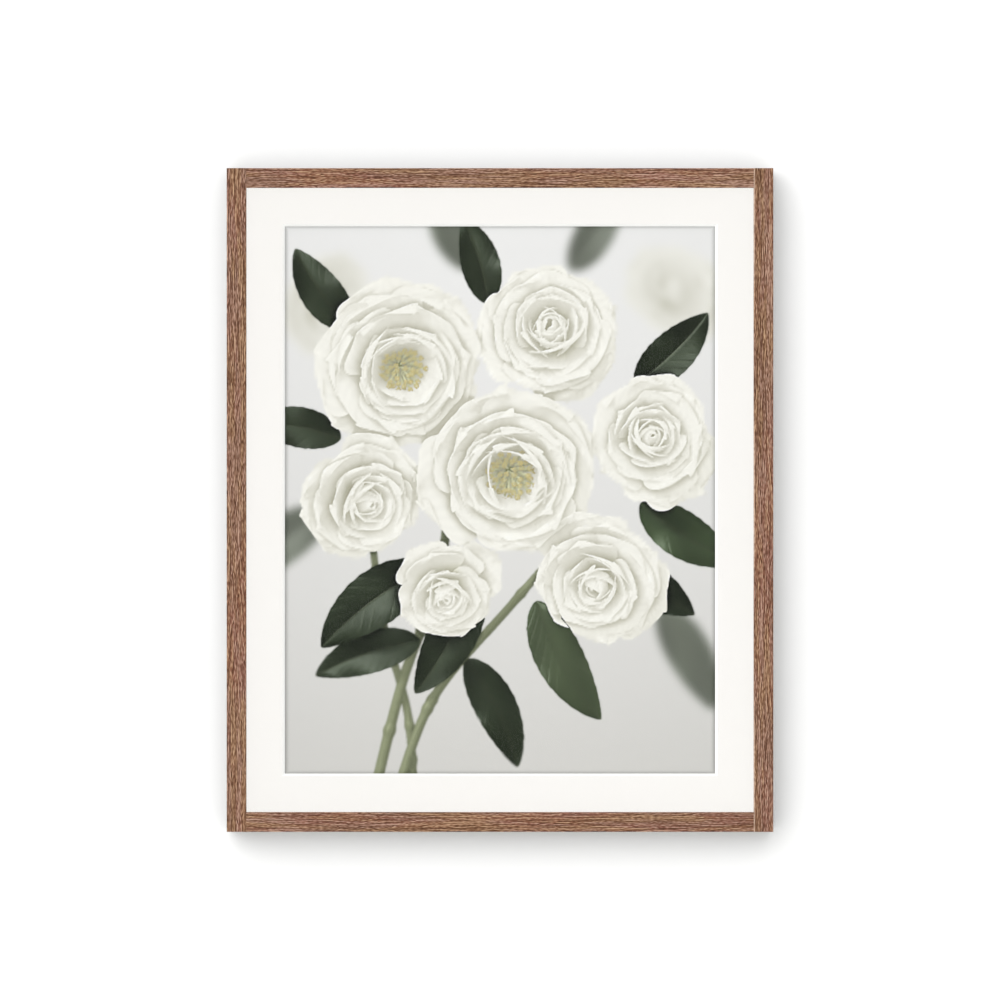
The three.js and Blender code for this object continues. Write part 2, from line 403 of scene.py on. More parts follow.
@dataclass(frozen=True)
class Finish:
    """What each finish has: a name, and a surface of its own."""

    name: str

    def make(self) -> bpy.types.Material:
        """Makes the finish.

        Returns:
            Its material.
        """
        material = bpy.data.materials.new(self.name)
        material.use_nodes = True
        tree = material.node_tree
        tree.nodes.clear()
        add(tree, "OutputMaterial", {"Surface": self.surface(tree)})
        return material

    def surface(self, tree: bpy.types.NodeTree) -> bpy.types.Node:
        """Makes the nodes of the surface in a tree, and returns its shader."""
        raise NotImplementedError


@dataclass(frozen=True)
class BrushedOak(Finish):
    """Brushed oak, stained walnut brown under matt wax.

    Brushing has worn the soft wood between the rings away, so the eye sees fine, wavy, dark furrows
    with a paler ridge beside each, broken up by short fibres. The shift sets a member's pattern apart
    from the others'. A painted highlight may run along its arris, between two distances to the right
    of the middle. The sizes of the patterns are those across, into and along the grain.
    """

    grain: Grain
    shift: float
    highlight_band_mm: tuple[float, float] | None
    wood: str = "#805b47"
    rosy: str = "#825444"
    valley: str = "#4c2c1a"
    crest: str = "#ba9783"
    golden: str = "#ffffe8"
    # The pale colour of the painted highlight along the arris.
    arris_highlight_colour: str = "#c0a592"
    fibre_mm: Sizes = (0.7, 2.5, 2.5)
    band_mm: Sizes = (2.6, 6.0, 60.0)
    tinge_mm: Sizes = (3.5, 5.0, 45.0)
    drift_mm: Sizes = (14.0, 14.0, 80.0)
    wave_mm: Sizes = (5.0, 7.0, 30.0)
    sway_mm: float = 0.55
    spacings_mm: tuple[tuple[float, float], ...] = ((1.2, 52.0), (0.95, 25.0), (0.85, 13.0))
    thin: float = 0.085
    beside_mm: float = 0.58
    even_height: float = -0.16
    band_height: float = 0.38
    ridge_height: float = 0.5
    furrow_depth: float = 0.68
    depth_mm: float = 0.12
    highlight_repeats_mm: float = 187.0

    def along(self, across: float, deep: float, run: float) -> Vector:
        """Returns sizes across, into and along the grain, in the order X, Y, Z."""
        return Vector((across, deep, run) if self.grain is Grain.UPRIGHT else (run, deep, across))

    def figure(
        self, tree: bpy.types.NodeTree, place: Feed, sizes: Sizes, start: float, detail: float = 0.0
    ) -> bpy.types.Node:
        """Returns a cloudy pattern with sizes across, into and along this member's own grain."""
        return cloud(tree, place, self.along(*sizes), self.shift + start, detail)

    def surface(self, tree: bpy.types.NodeTree) -> bpy.types.Node:
        """Raises fibres, bands and ridges, cuts the furrows and stains them all by their height.

        Args:
            tree: The node tree.

        Returns:
            The shader.
        """
        place = millimetres(tree)
        rings = self.rings(tree, place)
        beside = add(tree, "VectorMath", (rings, self.along(self.beside_mm, 0.0, 0.0)))
        fibre = self.figure(tree, rings, self.fibre_mm, 5.0)
        layers = (
            (fibre, 1.0),
            (self.figure(tree, rings, self.band_mm, 3.0), self.band_height),
            (self.lines(tree, beside), self.ridge_height),
            (self.lines(tree, rings), -self.furrow_depth),
        )
        height: Feed = self.even_height
        for pattern, much in layers:
            height = add(tree, "Math", (pattern, much, height), operation="MULTIPLY_ADD")
        drift = self.figure(tree, place, self.drift_mm, 19.0, 1.0)
        tinge = self.figure(tree, rings, self.tinge_mm, 29.0, 1.0)
        washes = (
            (self.rosy, "MIX", add(tree, "MapRange", (drift, 0.40, 0.62), **SMOOTHLY)),
            (self.valley, "MIX", add(tree, "MapRange", (height, 0.0, 0.5, 1.0, 0.0))),
            (self.crest, "MIX", add(tree, "MapRange", (height, 0.5, 1.0))),
            (self.golden, "MULTIPLY", add(tree, "MapRange", (tinge, 0.38, 0.62), **SMOOTHLY)),
            # The last wash is a painted highlight along the arris, where the light catches the edge.
            (self.arris_highlight_colour, "MIX", self.bare_arris(tree, place, fibre)),
        )
        colour: Feed = linear(self.wood)
        for wash, how, share in washes:
            mix = {0: share, 6: colour, 7: linear(wash)}
            colour = add(tree, "Mix", mix, blend_type=how, **COLOURS)
        roughness = add(tree, "MapRange", (height, 0.0, 1.0, 0.72, 0.58), **SMOOTHLY)
        looks = {"Base Color": colour, "Roughness": roughness, "Specular IOR Level": 0.3}
        return textured(tree, height, 0.6, self.depth_mm, looks)

    def rings(self, tree: bpy.types.NodeTree, place: Feed) -> bpy.types.Node:
        """Lays the rings in the wood.

        They slant, so that they come out on the front and on the sides alike, and they sway to and
        fro, so that their lines wave.

        Args:
            tree: The node tree.
            place: The coordinates in millimetres.

        Returns:
            The coordinates as the rings lie in them.
        """
        deep = add(tree, "SeparateXYZ", (place,)).outputs["Y"]
        slant = add(tree, "VectorMath", {0: self.along(1.0, 0.0, 0.0), "Scale": deep}, operation="SCALE")
        slanting = add(tree, "VectorMath", (place, slant))
        sway = self.figure(tree, slanting, self.wave_mm, 3.1, 2.0).outputs["Color"]
        centred = add(tree, "VectorMath", (sway, (0.5,) * 3), operation="SUBTRACT")
        reach = self.along(2 * self.sway_mm, 2 * self.sway_mm, 0.0)
        return add(tree, "VectorMath", (centred, reach, slanting), operation="MULTIPLY_ADD")

    def lines(self, tree: bpy.types.NodeTree, place: Feed) -> Feed:
        """Draws thin, wavy lines along the grain, where a noise is near its middle, and breaks them.

        Args:
            tree: The node tree.
            place: The coordinates as the rings lie in them.

        Returns:
            The lines, 1 in the middle of each and 0 away from them.
        """
        lines: Feed = 0.0
        for number, (across, run) in enumerate(self.spacings_mm):
            start = 7.7 + 23.0 * number
            level = self.figure(tree, place, (across, 3.0, run), start)
            off = add(tree, "Math", (level, 0.5), operation="SUBTRACT")
            off = add(tree, "Math", (off,), operation="ABSOLUTE")
            line = add(tree, "MapRange", (off, 0.0, self.thin, 1.0, 0.0), **SMOOTHLY)
            patch = self.figure(tree, place, (1.6 * across, 4.0, 0.5 * run), start + 11.0, 1.0)
            kept = add(tree, "MapRange", (patch, 0.36, 0.52, 0.15, 1.0), **SMOOTHLY)
            broken = add(tree, "Math", (line, kept), operation="MULTIPLY")
            lines = add(tree, "Math", (lines, broken), operation="MAXIMUM")
        return lines

    def bare_arris(self, tree: bpy.types.NodeTree, place: Feed, patchy: Feed) -> Feed:
        """Paints a pale highlight along the arris, where the light catches the edge, stronger in some
        stretches than in others.

        Args:
            tree: The node tree.
            place: The coordinates in millimetres.
            patchy: A fine pattern that breaks it up.

        Returns:
            How strong the painted highlight is, from 0 to 1.
        """
        if not self.highlight_band_mm:
            return 0.0
        start, end = self.highlight_band_mm
        right, _, up = add(tree, "SeparateXYZ", (place,)).outputs
        turn = math.tau / self.highlight_repeats_mm
        centre = (MODEL_BOX[0][2] + MODEL_BOX[1][2]) / 2 / MM
        wave = add(tree, "Math", (up, turn, -centre * turn), operation="MULTIPLY_ADD")
        wave = add(tree, "Math", (wave,), operation="COSINE")
        limits = (
            (right, end - 0.5, end + 0.2, 1.0, 0.0),
            (right, start - 0.3, start, 0.0, 1.0),
            (patchy, 0.3, 0.6, 0.55, 1.0),
            (wave, -0.6, 0.6, 0.1, 1.0),
        )
        bare: Feed = 1.0
        for limit in limits:
            share = add(tree, "MapRange", limit, **SMOOTHLY)
            bare = add(tree, "Math", (bare, share), operation="MULTIPLY")
        return bare


@dataclass(frozen=True)
class Board(Finish):
    """A pressed board or paper: nearly even in colour, with fine fibres that show as soft flecks."""

    colour: str
    fleck: str
    fleck_mm: float
    fleck_share: float
    tooth_mm: float
    roughness: float
    cloud_mm: float = 38.0

    def surface(self, tree: bpy.types.NodeTree) -> bpy.types.Node:
        """Makes the board, with more flecks in some parts than in others.

        Args:
            tree: The node tree.

        Returns:
            The shader.
        """
        place = millimetres(tree)
        fibres = cloud(tree, place, self.fleck_mm, 2.0, 3.0)
        clouds = cloud(tree, place, self.cloud_mm, 5.0, 2.0)
        share = add(tree, "MapRange", (fibres, 0.40, 0.70, 0.0, self.fleck_share), **SMOOTHLY)
        share = add(tree, "Math", (clouds, share), operation="MULTIPLY")
        colour = add(tree, "Mix", {0: share, 6: linear(self.colour), 7: linear(self.fleck)}, **COLOURS)
        looks = {"Base Color": colour, "Roughness": self.roughness}
        return textured(tree, fibres, 0.5, self.tooth_mm, looks)


# Ivory mat board: a smooth paper face, matt as chalk, over a core of pure white cotton.
MAT_FACE = Board("ivory_mat_paper", "#eae8e5", "#e1ded9", 0.9, 0.4, 0.03, 0.92)
MAT_CORE = Board("white_cotton_core", "#fafaf8", "#efeeeb", 0.6, 0.4, 0.05, 0.95)
# Hardboard, smooth side out: wood fibre pressed with steam to a slight gloss, brown with dark flecks.
HARDBOARD = Board("pressed_hardboard", "#7b5b3f", "#5a412d", 1.3, 1.1, 0.06, 0.58)


@dataclass(frozen=True)
class PrintedPaper(Finish):
    """Matt cotton paper that took the picture's inks without any gloss, and a painted shade by the window.
    """

    name: str = "matt_cotton_paper"
    attribute: str = "ink_and_painted_shade"
    fibre_mm: float = 0.5
    tooth_mm: float = 0.02

    def surface(self, tree: bpy.types.NodeTree) -> bpy.types.Node:
        """Makes the paper, in the colours that each point of the sheet holds.

        Args:
            tree: The node tree.

        Returns:
            The shader.
        """
        # The colours hold the print and a painted shade along the window's edge.
        ink_and_painted_shade = add(tree, "Attribute", attribute_name=self.attribute)
        fibres = cloud(tree, millimetres(tree), self.fibre_mm, 4.0, 2.0)
        looks = {"Base Color": ink_and_painted_shade, "Roughness": 0.85, "Specular IOR Level": 0.06}
        return textured(tree, fibres, 0.3, self.tooth_mm, looks)


@dataclass(frozen=True)
class PictureGlass(Finish):
    """Float glass with a low-reflection coating: clear from the front, a gleam from the side."""

    name: str = "low_reflection_glass"
    coated_ior: float = 1.17
    colour: str = "#fefefe"

    def surface(self, tree: bpy.types.NodeTree) -> bpy.types.Node:
        """Makes the glass as a film that reflects by angle and lets all else through.

        The faces that are met from outside reflect for both. From inside, where no light is bent,
        they would shut it in.

        Args:
            tree: The node tree.

        Returns:
            The shader.
        """
        clear = add(tree, "BsdfTransparent", {"Color": linear(self.colour)})
        gleam = add(tree, "BsdfAnisotropic", {"Color": (1, 1, 1, 1), "Roughness": 0.03})
        share = add(tree, "Fresnel", {"IOR": self.coated_ior})
        inside = add(tree, "NewGeometry").outputs["Backfacing"]
        share = add(tree, "Math", (share, inside), operation="SUBTRACT", use_clamp=True)
        return add(tree, "MixShader", (share, clear, gleam))


@dataclass(frozen=True)
class Metal(Finish):
    """A small metal fitting: its plating's colour, with a faint mottle from the bath or the rollers."""

    colour: str
    stain: str
    roughness: float
    mottle_mm: float
    grit_mm: float = 0.25

    def surface(self, tree: bpy.types.NodeTree) -> bpy.types.Node:
        """Makes the metal, duller where it is stained.

        Args:
            tree: The node tree.

        Returns:
            The shader.
        """
        place = millimetres(tree)
        mottle = cloud(tree, place, self.mottle_mm, 1.0, 3.0)
        share = add(tree, "MapRange", (mottle, 0.42, 0.7, 0.0, 0.7), **SMOOTHLY)
        colour = add(tree, "Mix", {0: share, 6: linear(self.colour), 7: linear(self.stain)}, **COLOURS)
        dulled = (mottle, 0.3, 0.7, self.roughness - 0.06, self.roughness + 0.12)
        roughness = add(tree, "MapRange", dulled, **SMOOTHLY)
        looks = {"Base Color": colour, "Metallic": 1.0, "Roughness": roughness}
        return textured(tree, cloud(tree, place, self.grit_mm, 8.0, 2.0), 0.25, 0.02, looks)


# Spring steel, blued in oil: nearly black, with a dull gleam.
BLUED_STEEL = Metal("blued_spring_steel", "#5a5b5e", "#3a3833", 0.42, 2.5)
# Pressed steel with a thin brass plating: warm and bright, duller where it was handled.
BRASS_PLATE = Metal("brass_plated_steel", "#c9a765", "#8e7440", 0.30, 3.0)
# Steel wire with bright zinc: cold grey, finely clouded.
ZINC_PLATE = Metal("zinc_plated_steel", "#c2c5c8", "#8d9093", 0.34, 1.2)


@dataclass(frozen=True)
class SoftRubber(Finish):
    """Dark moulded rubber: no gloss, a fine bloom on its skin."""

    name: str = "moulded_rubber"
    colour: str = "#353331"
    bloom: str = "#56534f"
    skin_mm: float = 0.4

    def surface(self, tree: bpy.types.NodeTree) -> bpy.types.Node:
        """Makes the rubber.

        Args:
            tree: The node tree.

        Returns:
            The shader.
        """
        skin = cloud(tree, millimetres(tree), self.skin_mm, 6.0, 3.0)
        share = add(tree, "MapRange", (skin, 0.45, 0.75, 0.0, 0.6), **SMOOTHLY)
        colour = add(tree, "Mix", {0: share, 6: linear(self.colour), 7: linear(self.bloom)}, **COLOURS)
        return textured(tree, skin, 0.4, 0.04, {"Base Color": colour, "Roughness": 0.88, "IOR": 1.5})


@dataclass(frozen=True)
class RoomPaint(Finish):
    """Dead matt paint with a roller's faint stipple, for the room that the print hangs in.

    Where it is one-sided it is bare air from behind, so that the print's back can be seen.
    """

    colour: str
    one_sided: bool = False
    stipple_mm: float = 3.0

    def surface(self, tree: bpy.types.NodeTree) -> bpy.types.Node:
        """Makes the paint.

        Args:
            tree: The node tree.

        Returns:
            The shader.
        """
        looks = {"Base Color": linear(self.colour), "Roughness": 0.95, "Specular IOR Level": 0.0}
        stipple = cloud(tree, millimetres(tree), self.stipple_mm, 1.0, 2.0)
        matt = textured(tree, stipple, 0.15, 0.05, looks)
        if not self.one_sided:
            return matt
        behind = add(tree, "NewGeometry").outputs["Backfacing"]
        return add(tree, "MixShader", (behind, matt, add(tree, "BsdfTransparent")))


@dataclass(frozen=True)
class FlagCloth(Finish):
    """The dark cloth of the flags that keep light off, with no gleam at all."""

    name: str = "black_flag_cloth"
    colour: str = "#59503f"

    def surface(self, tree: bpy.types.NodeTree) -> bpy.types.Node:
        """Makes the cloth in a tree, and returns its shader."""
        return add(tree, "BsdfDiffuse", {"Color": linear(self.colour)})


# ---------------------------------------------------------------------------- the printed design


@dataclass
class Relief:
    """A picture in the making: for each spot, what lies nearest the viewer and how it takes light."""

    width: float
    height: float
    per_mm: float
    columns: int = field(init=False)
    rows: int = field(init=False)

    def __post_init__(self) -> None:
        """Starts with nothing drawn."""
        self.columns = int(self.width * self.per_mm)
        self.rows = int(self.height * self.per_mm)
        spots = self.columns * self.rows
        self.near = np.full(spots, -np.inf, np.float32)
        self.normal, self.lit, self.shaded = (np.zeros((spots, 3), np.float32) for _ in range(3))
        self.shine, self.thin = (np.zeros(spots, np.float32) for _ in range(2))

    def lay(
        self, surface: np.ndarray, lit: np.ndarray, shaded: np.ndarray, shine: float, thin: float
    ) -> None:
        """Lays one curved surface into the picture, where it is nearer than what is there.

        Args:
            surface: A grid of points (rows, columns, 3): right, up and towards the viewer, in mm.
            lit: Its colour in full light, one for all points or one for each.
            shaded: Its colour in deep shade, likewise.
            shine: How much it gleams, 0 to 1.
            thin: How much light comes through it, 0 to 1.
        """
        normal = np.cross(np.gradient(surface, axis=0), np.gradient(surface, axis=1))
        normal /= np.linalg.norm(normal, axis=2, keepdims=True) + 1e-9
        normal *= np.where(normal[..., 2:] < 0, -1, 1)
        column = ((surface[..., 0] + self.width / 2) * self.per_mm).astype(np.int32).ravel()
        row = ((self.height / 2 - surface[..., 1]) * self.per_mm).astype(np.int32).ravel()
        depth = surface[..., 2].ravel()
        inside = (column >= 0) & (column < self.columns) & (row >= 0) & (row < self.rows)
        far_to_near = np.argsort(depth)
        far_to_near = far_to_near[inside[far_to_near]]
        spot = (row * self.columns + column)[far_to_near]
        seen = depth[far_to_near] > self.near[spot]
        point, spot = far_to_near[seen], spot[seen]
        self.near[spot] = depth[point]
        for kept, new in ((self.normal, normal), (self.lit, lit), (self.shaded, shaded)):
            kept[spot] = np.broadcast_to(new, surface.shape).reshape(-1, 3)[point]
        self.shine[spot] = shine
        self.thin[spot] = thin

    def grid(self, values: np.ndarray) -> np.ndarray:
        """Returns one of the buffers as rows and columns."""
        return values.reshape(self.rows, self.columns, *values.shape[1:])


def soften(picture: np.ndarray, reach: int) -> np.ndarray:
    """Blurs a picture by three running means each way.

    Args:
        picture: Rows and columns of numbers or colours.
        reach: Half the width of a running mean, in spots.

    Returns:
        The blurred picture, of the same size.
    """
    if reach < 1:
        return picture
    wide = 2 * reach + 1
    for axis in (0, 1) * 3:
        room = [(0, 0)] * picture.ndim
        room[axis] = (reach + 1, reach)
        total = np.cumsum(np.pad(picture, room, mode="edge"), axis=axis, dtype=np.float64)
        count = total.shape[axis]
        far = np.take(total, range(wide, count), axis=axis)
        picture = ((far - np.take(total, range(count - wide), axis=axis)) / wide).astype(np.float32)
    return picture


def turned(axis: str, degrees: float) -> np.ndarray:
    """Returns the matrix that turns about one axis by an angle in degrees."""
    return np.array(Matrix.Rotation(math.radians(degrees), 3, axis))


def peak(spot: np.ndarray, centre: float, wide: float) -> np.ndarray:
    """Returns a smooth peak that is 1 at its centre and nearly 0 two widths from it."""
    return np.exp(-(((spot - centre) / wide) ** 2))


@dataclass
class Bloom:
    """One open flower of overlapping petals, set in a spiral from the outermost to the innermost.

    It is tilted back and turned by two angles in degrees. Its heart is 1 where the innermost petals
    close it, and less where it is open.
    """

    right: float
    up: float
    near: float
    radius: float
    tilt: float
    heading: float
    petals: int
    heart: float
    seed: int
    lit: str = "#f9f8f0"
    shaded: str = "#a3a08c"
    foot: str = "#d3d59c"
    boss_lit: str = "#b9bd8c"
    boss_shaded: str = "#6f7254"
    filament: str = "#dfe0b8"
    anther: str = "#ddcf95"
    stamens: int = 44

    def __post_init__(self) -> None:
        """Turns the flower, and starts its own random draws."""
        self.pose = turned("Z", self.heading) @ turned("X", self.tilt)
        self.rng = np.random.default_rng(self.seed)

    def paint(self, relief: Relief) -> None:
        """Lays every petal, and the stamens where the heart is open.

        Args:
            relief: The picture.
        """
        self.boss(relief)
        for index in range(self.petals):
            self.petal(relief, index, index / (self.petals - 1) * self.heart)
        if self.heart < 0.8:
            self.crown(relief)

    def place(self, out: np.ndarray, side: np.ndarray, along: np.ndarray) -> np.ndarray:
        """Returns points given in the flower's own directions as points in the picture."""
        own = np.stack(np.broadcast_arrays(out, side, along), -1)
        return own @ self.pose.T + np.array([self.right, self.up, self.near])

    def boss(self, relief: Relief) -> None:
        """Lays the small green dome that closes the middle, behind the petals.

        Args:
            relief: The picture.
        """
        size = self.radius * 0.12
        rise = np.linspace(0, 1, int(size * relief.per_mm * 2))[:, None]
        ring = np.linspace(0, 2 * math.pi, int(size * relief.per_mm * 12))[None, :]
        out, side = size * rise * np.cos(ring), size * rise * np.sin(ring)
        dome = self.place(out, side, 0.1 * size - size * rise)
        relief.lay(dome, tint(self.boss_lit), tint(self.boss_shaded), 0.0, 0.5)

    def petal(self, relief: Relief, index: int, inward: float) -> None:
        """Lays one petal.

        Args:
            relief: The picture.
            index: The petal's number in the spiral.
            inward: 0 for the outermost petal, 1 for one closed over the heart.
        """
        rng = self.rng
        # Its size, and a grid that is finer near the tip and the edges: u from foot to tip, v across.
        length = self.radius * (1.12 - 0.54 * inward) * rng.uniform(0.86, 1.08)
        half = length * (0.62 - 0.06 * inward) * rng.uniform(0.86, 1.08)
        rows = max(40, int(length * relief.per_mm * 2.2))
        u = 1 - (1 - np.linspace(0.01, 1, rows)[:, None]) ** 1.6
        v = np.sin(np.linspace(-1, 1, max(30, int(2 * half * relief.per_mm * 1.7)))[None, :] * math.pi / 2)
        phase = rng.uniform(0, 2 * math.pi, 5)
        # How far it leans out at each height, in degrees: it opens, closes again and rolls back.
        opening = 99 - 62 * inward**0.9 + rng.uniform(-11, 9)
        closing = 34 + 30 * inward + rng.uniform(-6, 8)
        recurve = rng.uniform(0, 52) * (1 - inward) + rng.uniform(0, 12)
        lean = np.radians(opening - closing * np.sin(u * math.pi / 2) ** 1.2 + recurve * u**4)
        advance = length * np.gradient(u, axis=0)
        out = self.radius * 0.05 + np.cumsum(np.sin(lean) * advance, axis=0)
        out = np.maximum(out, self.radius * 0.03)
        along = np.cumsum(np.cos(lean) * advance, axis=0)
        # It is wrapped round the heart, more tightly further in.
        outline = u**0.72 * np.sqrt(1 - u**2.7)
        across = half * outline / outline.max() * v
        wrap = out * (1.05 + 0.2 * rng.random()) + self.radius * 1.3 * (1 - inward) ** 1.6
        angle = 2.2 * np.tanh(across / wrap / 2.2)
        # Its rim waves, its sides ripple and fine veins stand up.
        waves = 0.6 * np.sin(4.5 * v + phase[0]) + 0.4 * np.sin(8 * v + phase[1] + 3 * u)
        lift = half * rng.uniform(0.06, 0.16) * (1 - 0.55 * inward) * waves * u**3
        lift = lift + half * 0.05 * np.sin(5 * u + phase[2]) * np.abs(v) ** 3
        lift = lift + 0.06 * np.sin(24 * v + 1.6 * np.sin(3 * u + phase[3])) * u**0.5 * (1 - v**4)
        lift = lift + wrap * (1 - np.cos(angle))
        # Its tip is rounded, and may have a notch.
        notch = rng.choice([0.0, 0.03, 0.07])
        tip = -0.12 * np.abs(v) ** 2.2 - notch * peak(v, 0, 0.2) + 0.02 * np.sin(6 * v + phase[4])
        tip = tip * length * u**4
        out = out - np.cos(lean) * lift + np.sin(lean) * tip
        along = along + np.sin(lean) * lift + np.cos(lean) * tip + self.radius * (0.26 * inward - 0.1)
        turn = index * GOLDEN_ANGLE + rng.uniform(-0.25, 0.25) + rng.uniform(-0.15, 0.15) * u
        side = wrap * np.sin(angle)
        x = out * np.cos(turn) - side * np.sin(turn)
        y = out * np.sin(turn) + side * np.cos(turn)
        # White, with faint veins and a green foot.
        vein = (0.5 + 0.5 * np.sin(30 * v + 2 * np.sin(3 * u + index)))[..., None]
        foot = (np.clip(1 - 2.0 * u, 0, 1) ** 1.3)[..., None]
        lit = tint(self.lit) * (1 - 0.018 * vein) * (1 - 0.6 * foot) + tint(self.foot) * 0.6 * foot
        shaded = tint(self.shaded) * (1 - 0.25 * foot)
        relief.lay(self.place(x, y, along), lit, shaded, 0.04, 1.0)

    def crown(self, relief: Relief) -> None:
        """Lays a crowd of short stamens with pale anthers in the open heart.

        Args:
            relief: The picture.
        """
        rng = self.rng
        ring = np.linspace(0, 2 * math.pi, 12)[None, :]
        for index in range(self.stamens):
            turn = index * GOLDEN_ANGLE
            foot = self.radius * 0.15 * math.sqrt(index / self.stamens)
            length = self.radius * rng.uniform(0.24, 0.34)
            u = np.linspace(0, 1, int(length * relief.per_mm * 2))[:, None]
            thick = self.radius * (0.010 + 0.022 * peak(u, 0.94, 0.06))
            lean = 0.15 + 3.0 * foot / self.radius + rng.uniform(-0.1, 0.1)
            out = foot + u * length * math.sin(lean)
            x = math.cos(turn) * out + thick * np.cos(ring)
            y = math.sin(turn) * out + thick * np.sin(ring)
            along = self.radius * 0.16 + u * length * math.cos(lean)
            lit = np.where(u[..., None] > 0.86, tint(self.anther), tint(self.filament))
            relief.lay(self.place(x, y, along), lit, lit * 0.55, 0.0, 0.5)


@dataclass
class Leaf:
    """One glossy, pointed leaf, folded along its midrib, with ribs to both sides.

    Its heading, its curl from foot to tip and its roll about the midrib are in degrees.
    """

    right: float
    up: float
    near: float
    length: float
    width: float
    heading: float
    curl: float
    seed: int
    roll: float = 8.0
    lit: str = "#2b3325"
    shaded: str = "#070908"
    rib_lit: str = "#8d9177"
    rib_shaded: str = "#2f362b"

    def paint(self, relief: Relief) -> None:
        """Lays the leaf.

        Args:
            relief: The picture.
        """
        rng = np.random.default_rng(self.seed)
        phase = rng.uniform(0, 2 * math.pi, 4)
        rows = int(self.length * relief.per_mm * 2)
        u = np.sin(np.linspace(0, 1, rows)[:, None] * math.pi / 2) ** 1.4
        v = np.linspace(-1, 1, int(self.width * relief.per_mm * 1.8))[None, :]
        advance = self.length * np.gradient(u, axis=0)
        outline = np.clip(u, 1e-4, 1) ** 0.62 * (1 - u) ** 0.8
        outline = outline / outline.max()
        across = self.width / 2 * outline * v * (1 + 0.012 * np.sin(60 * u + phase[0]) * v**4)
        # Its midrib bends to one side, and its ribs run out from it.
        bearing = math.radians(self.curl) * (u - 0.4)
        x = np.cumsum(np.cos(bearing) * advance, axis=0) - np.sin(bearing) * across
        y = np.cumsum(np.sin(bearing) * advance, axis=0) + np.cos(bearing) * across
        rib = np.abs((u * 10 - np.abs(v) * 2.2 + 0.06 * np.sin(9 * u + phase[3])) % 1 - 0.5) * 2
        midrib = peak(across, 0, 0.75)
        groove = peak(rib, 0, 0.2) * (0.2 + np.abs(v))
        # It is folded upwards, bows down to its tip, and its edges wave.
        near = 0.32 * np.abs(across) - 0.16 * groove - 0.5 * midrib - 0.2 * self.length * (u - 0.3) ** 2
        waves = 0.09 * np.sin(8 * u + phase[1]) * np.sign(v) + 0.05 * np.sin(13 * u + phase[2])
        near = near + self.width * waves * v**2 + math.sin(math.radians(self.roll)) * across
        surface = np.stack([x, y, near], -1) @ turned("Z", self.heading).T
        surface = surface + np.array([self.right, self.up, self.near])
        pale = (0.07 * peak(rib, 0, 0.22) * (np.abs(v) < 0.93) + 0.26 * midrib)[..., None]
        lit = tint(self.lit) * (1 + 0.06 * np.sin(7 * u + 3 * v + phase[2]))[..., None]
        lit = lit * (1 - pale) + tint(self.rib_lit) * pale
        shaded = tint(self.shaded) * (1 - 0.5 * pale) + tint(self.rib_shaded) * 0.5 * pale
        relief.lay(surface, lit, shaded, 0.22, 0.15)


@dataclass
class Stem:
    """One stem along a smooth line, thick at its foot and thin at its tip, with a few nodes."""

    line: list[tuple[float, float, float]]
    thick: float
    thin: float
    seed: int
    lit: str = "#8c9273"
    shaded: str = "#34382b"

    def paint(self, relief: Relief) -> None:
        """Lays the near half of the stem as a tube.

        Args:
            relief: The picture.
        """
        curve = self.smooth()
        run = np.r_[0, np.cumsum(np.linalg.norm(np.diff(curve, axis=0), axis=1))]
        spots = np.linspace(0, run[-1], int(run[-1] * relief.per_mm * 1.5))
        curve = np.stack([np.interp(spots, run, curve[:, axis]) for axis in range(3)], -1)
        ahead = np.gradient(curve, axis=0)
        ahead /= np.linalg.norm(ahead, axis=1, keepdims=True)
        side = np.stack([-ahead[:, 1], ahead[:, 0], 0 * ahead[:, 0]], -1)
        side /= np.linalg.norm(side, axis=1, keepdims=True)
        front = np.cross(ahead, side)
        front *= np.where(front[:, 2:] < 0, -1, 1)
        part = spots / run[-1]
        radius = self.thick + (self.thin - self.thick) * part
        for node in np.random.default_rng(self.seed).uniform(0.1, 0.9, 3):
            radius = radius * (1 + 0.3 * np.exp(-(((part - node) * run[-1] / 3) ** 2)))
        turn = np.linspace(-math.pi / 2, math.pi / 2, int(self.thick * relief.per_mm * 5) + 8)[None, :, None]
        surface = np.sin(turn) * side[:, None] + np.cos(turn) * front[:, None]
        surface = curve[:, None] + radius[:, None, None] * surface
        streaks = 0.06 * np.sin(9 * turn + 3 * np.sin(spots / 9)[:, None, None])
        lit = tint(self.lit) * (1 + streaks)
        relief.lay(surface, lit, tint(self.shaded), 0.10, 0.2)

    def smooth(self) -> np.ndarray:
        """Draws a smooth line through the stem's points.

        Returns:
            Many points on it, close together.
        """
        points = np.array(self.line, float)
        spot = np.linspace(0, len(points) - 1.001, 400)
        first = spot.astype(int)
        part = (spot - first)[:, None]
        before, here, ahead, beyond = (
            points[np.clip(first + step, 0, len(points) - 1)] for step in (-1, 0, 1, 2)
        )
        bend = (2 * before - 5 * here + 4 * ahead - beyond) * part**2
        twist = (3 * here - before - 3 * ahead + beyond) * part**3
        return (2 * here + (ahead - before) * part + bend + twist) / 2


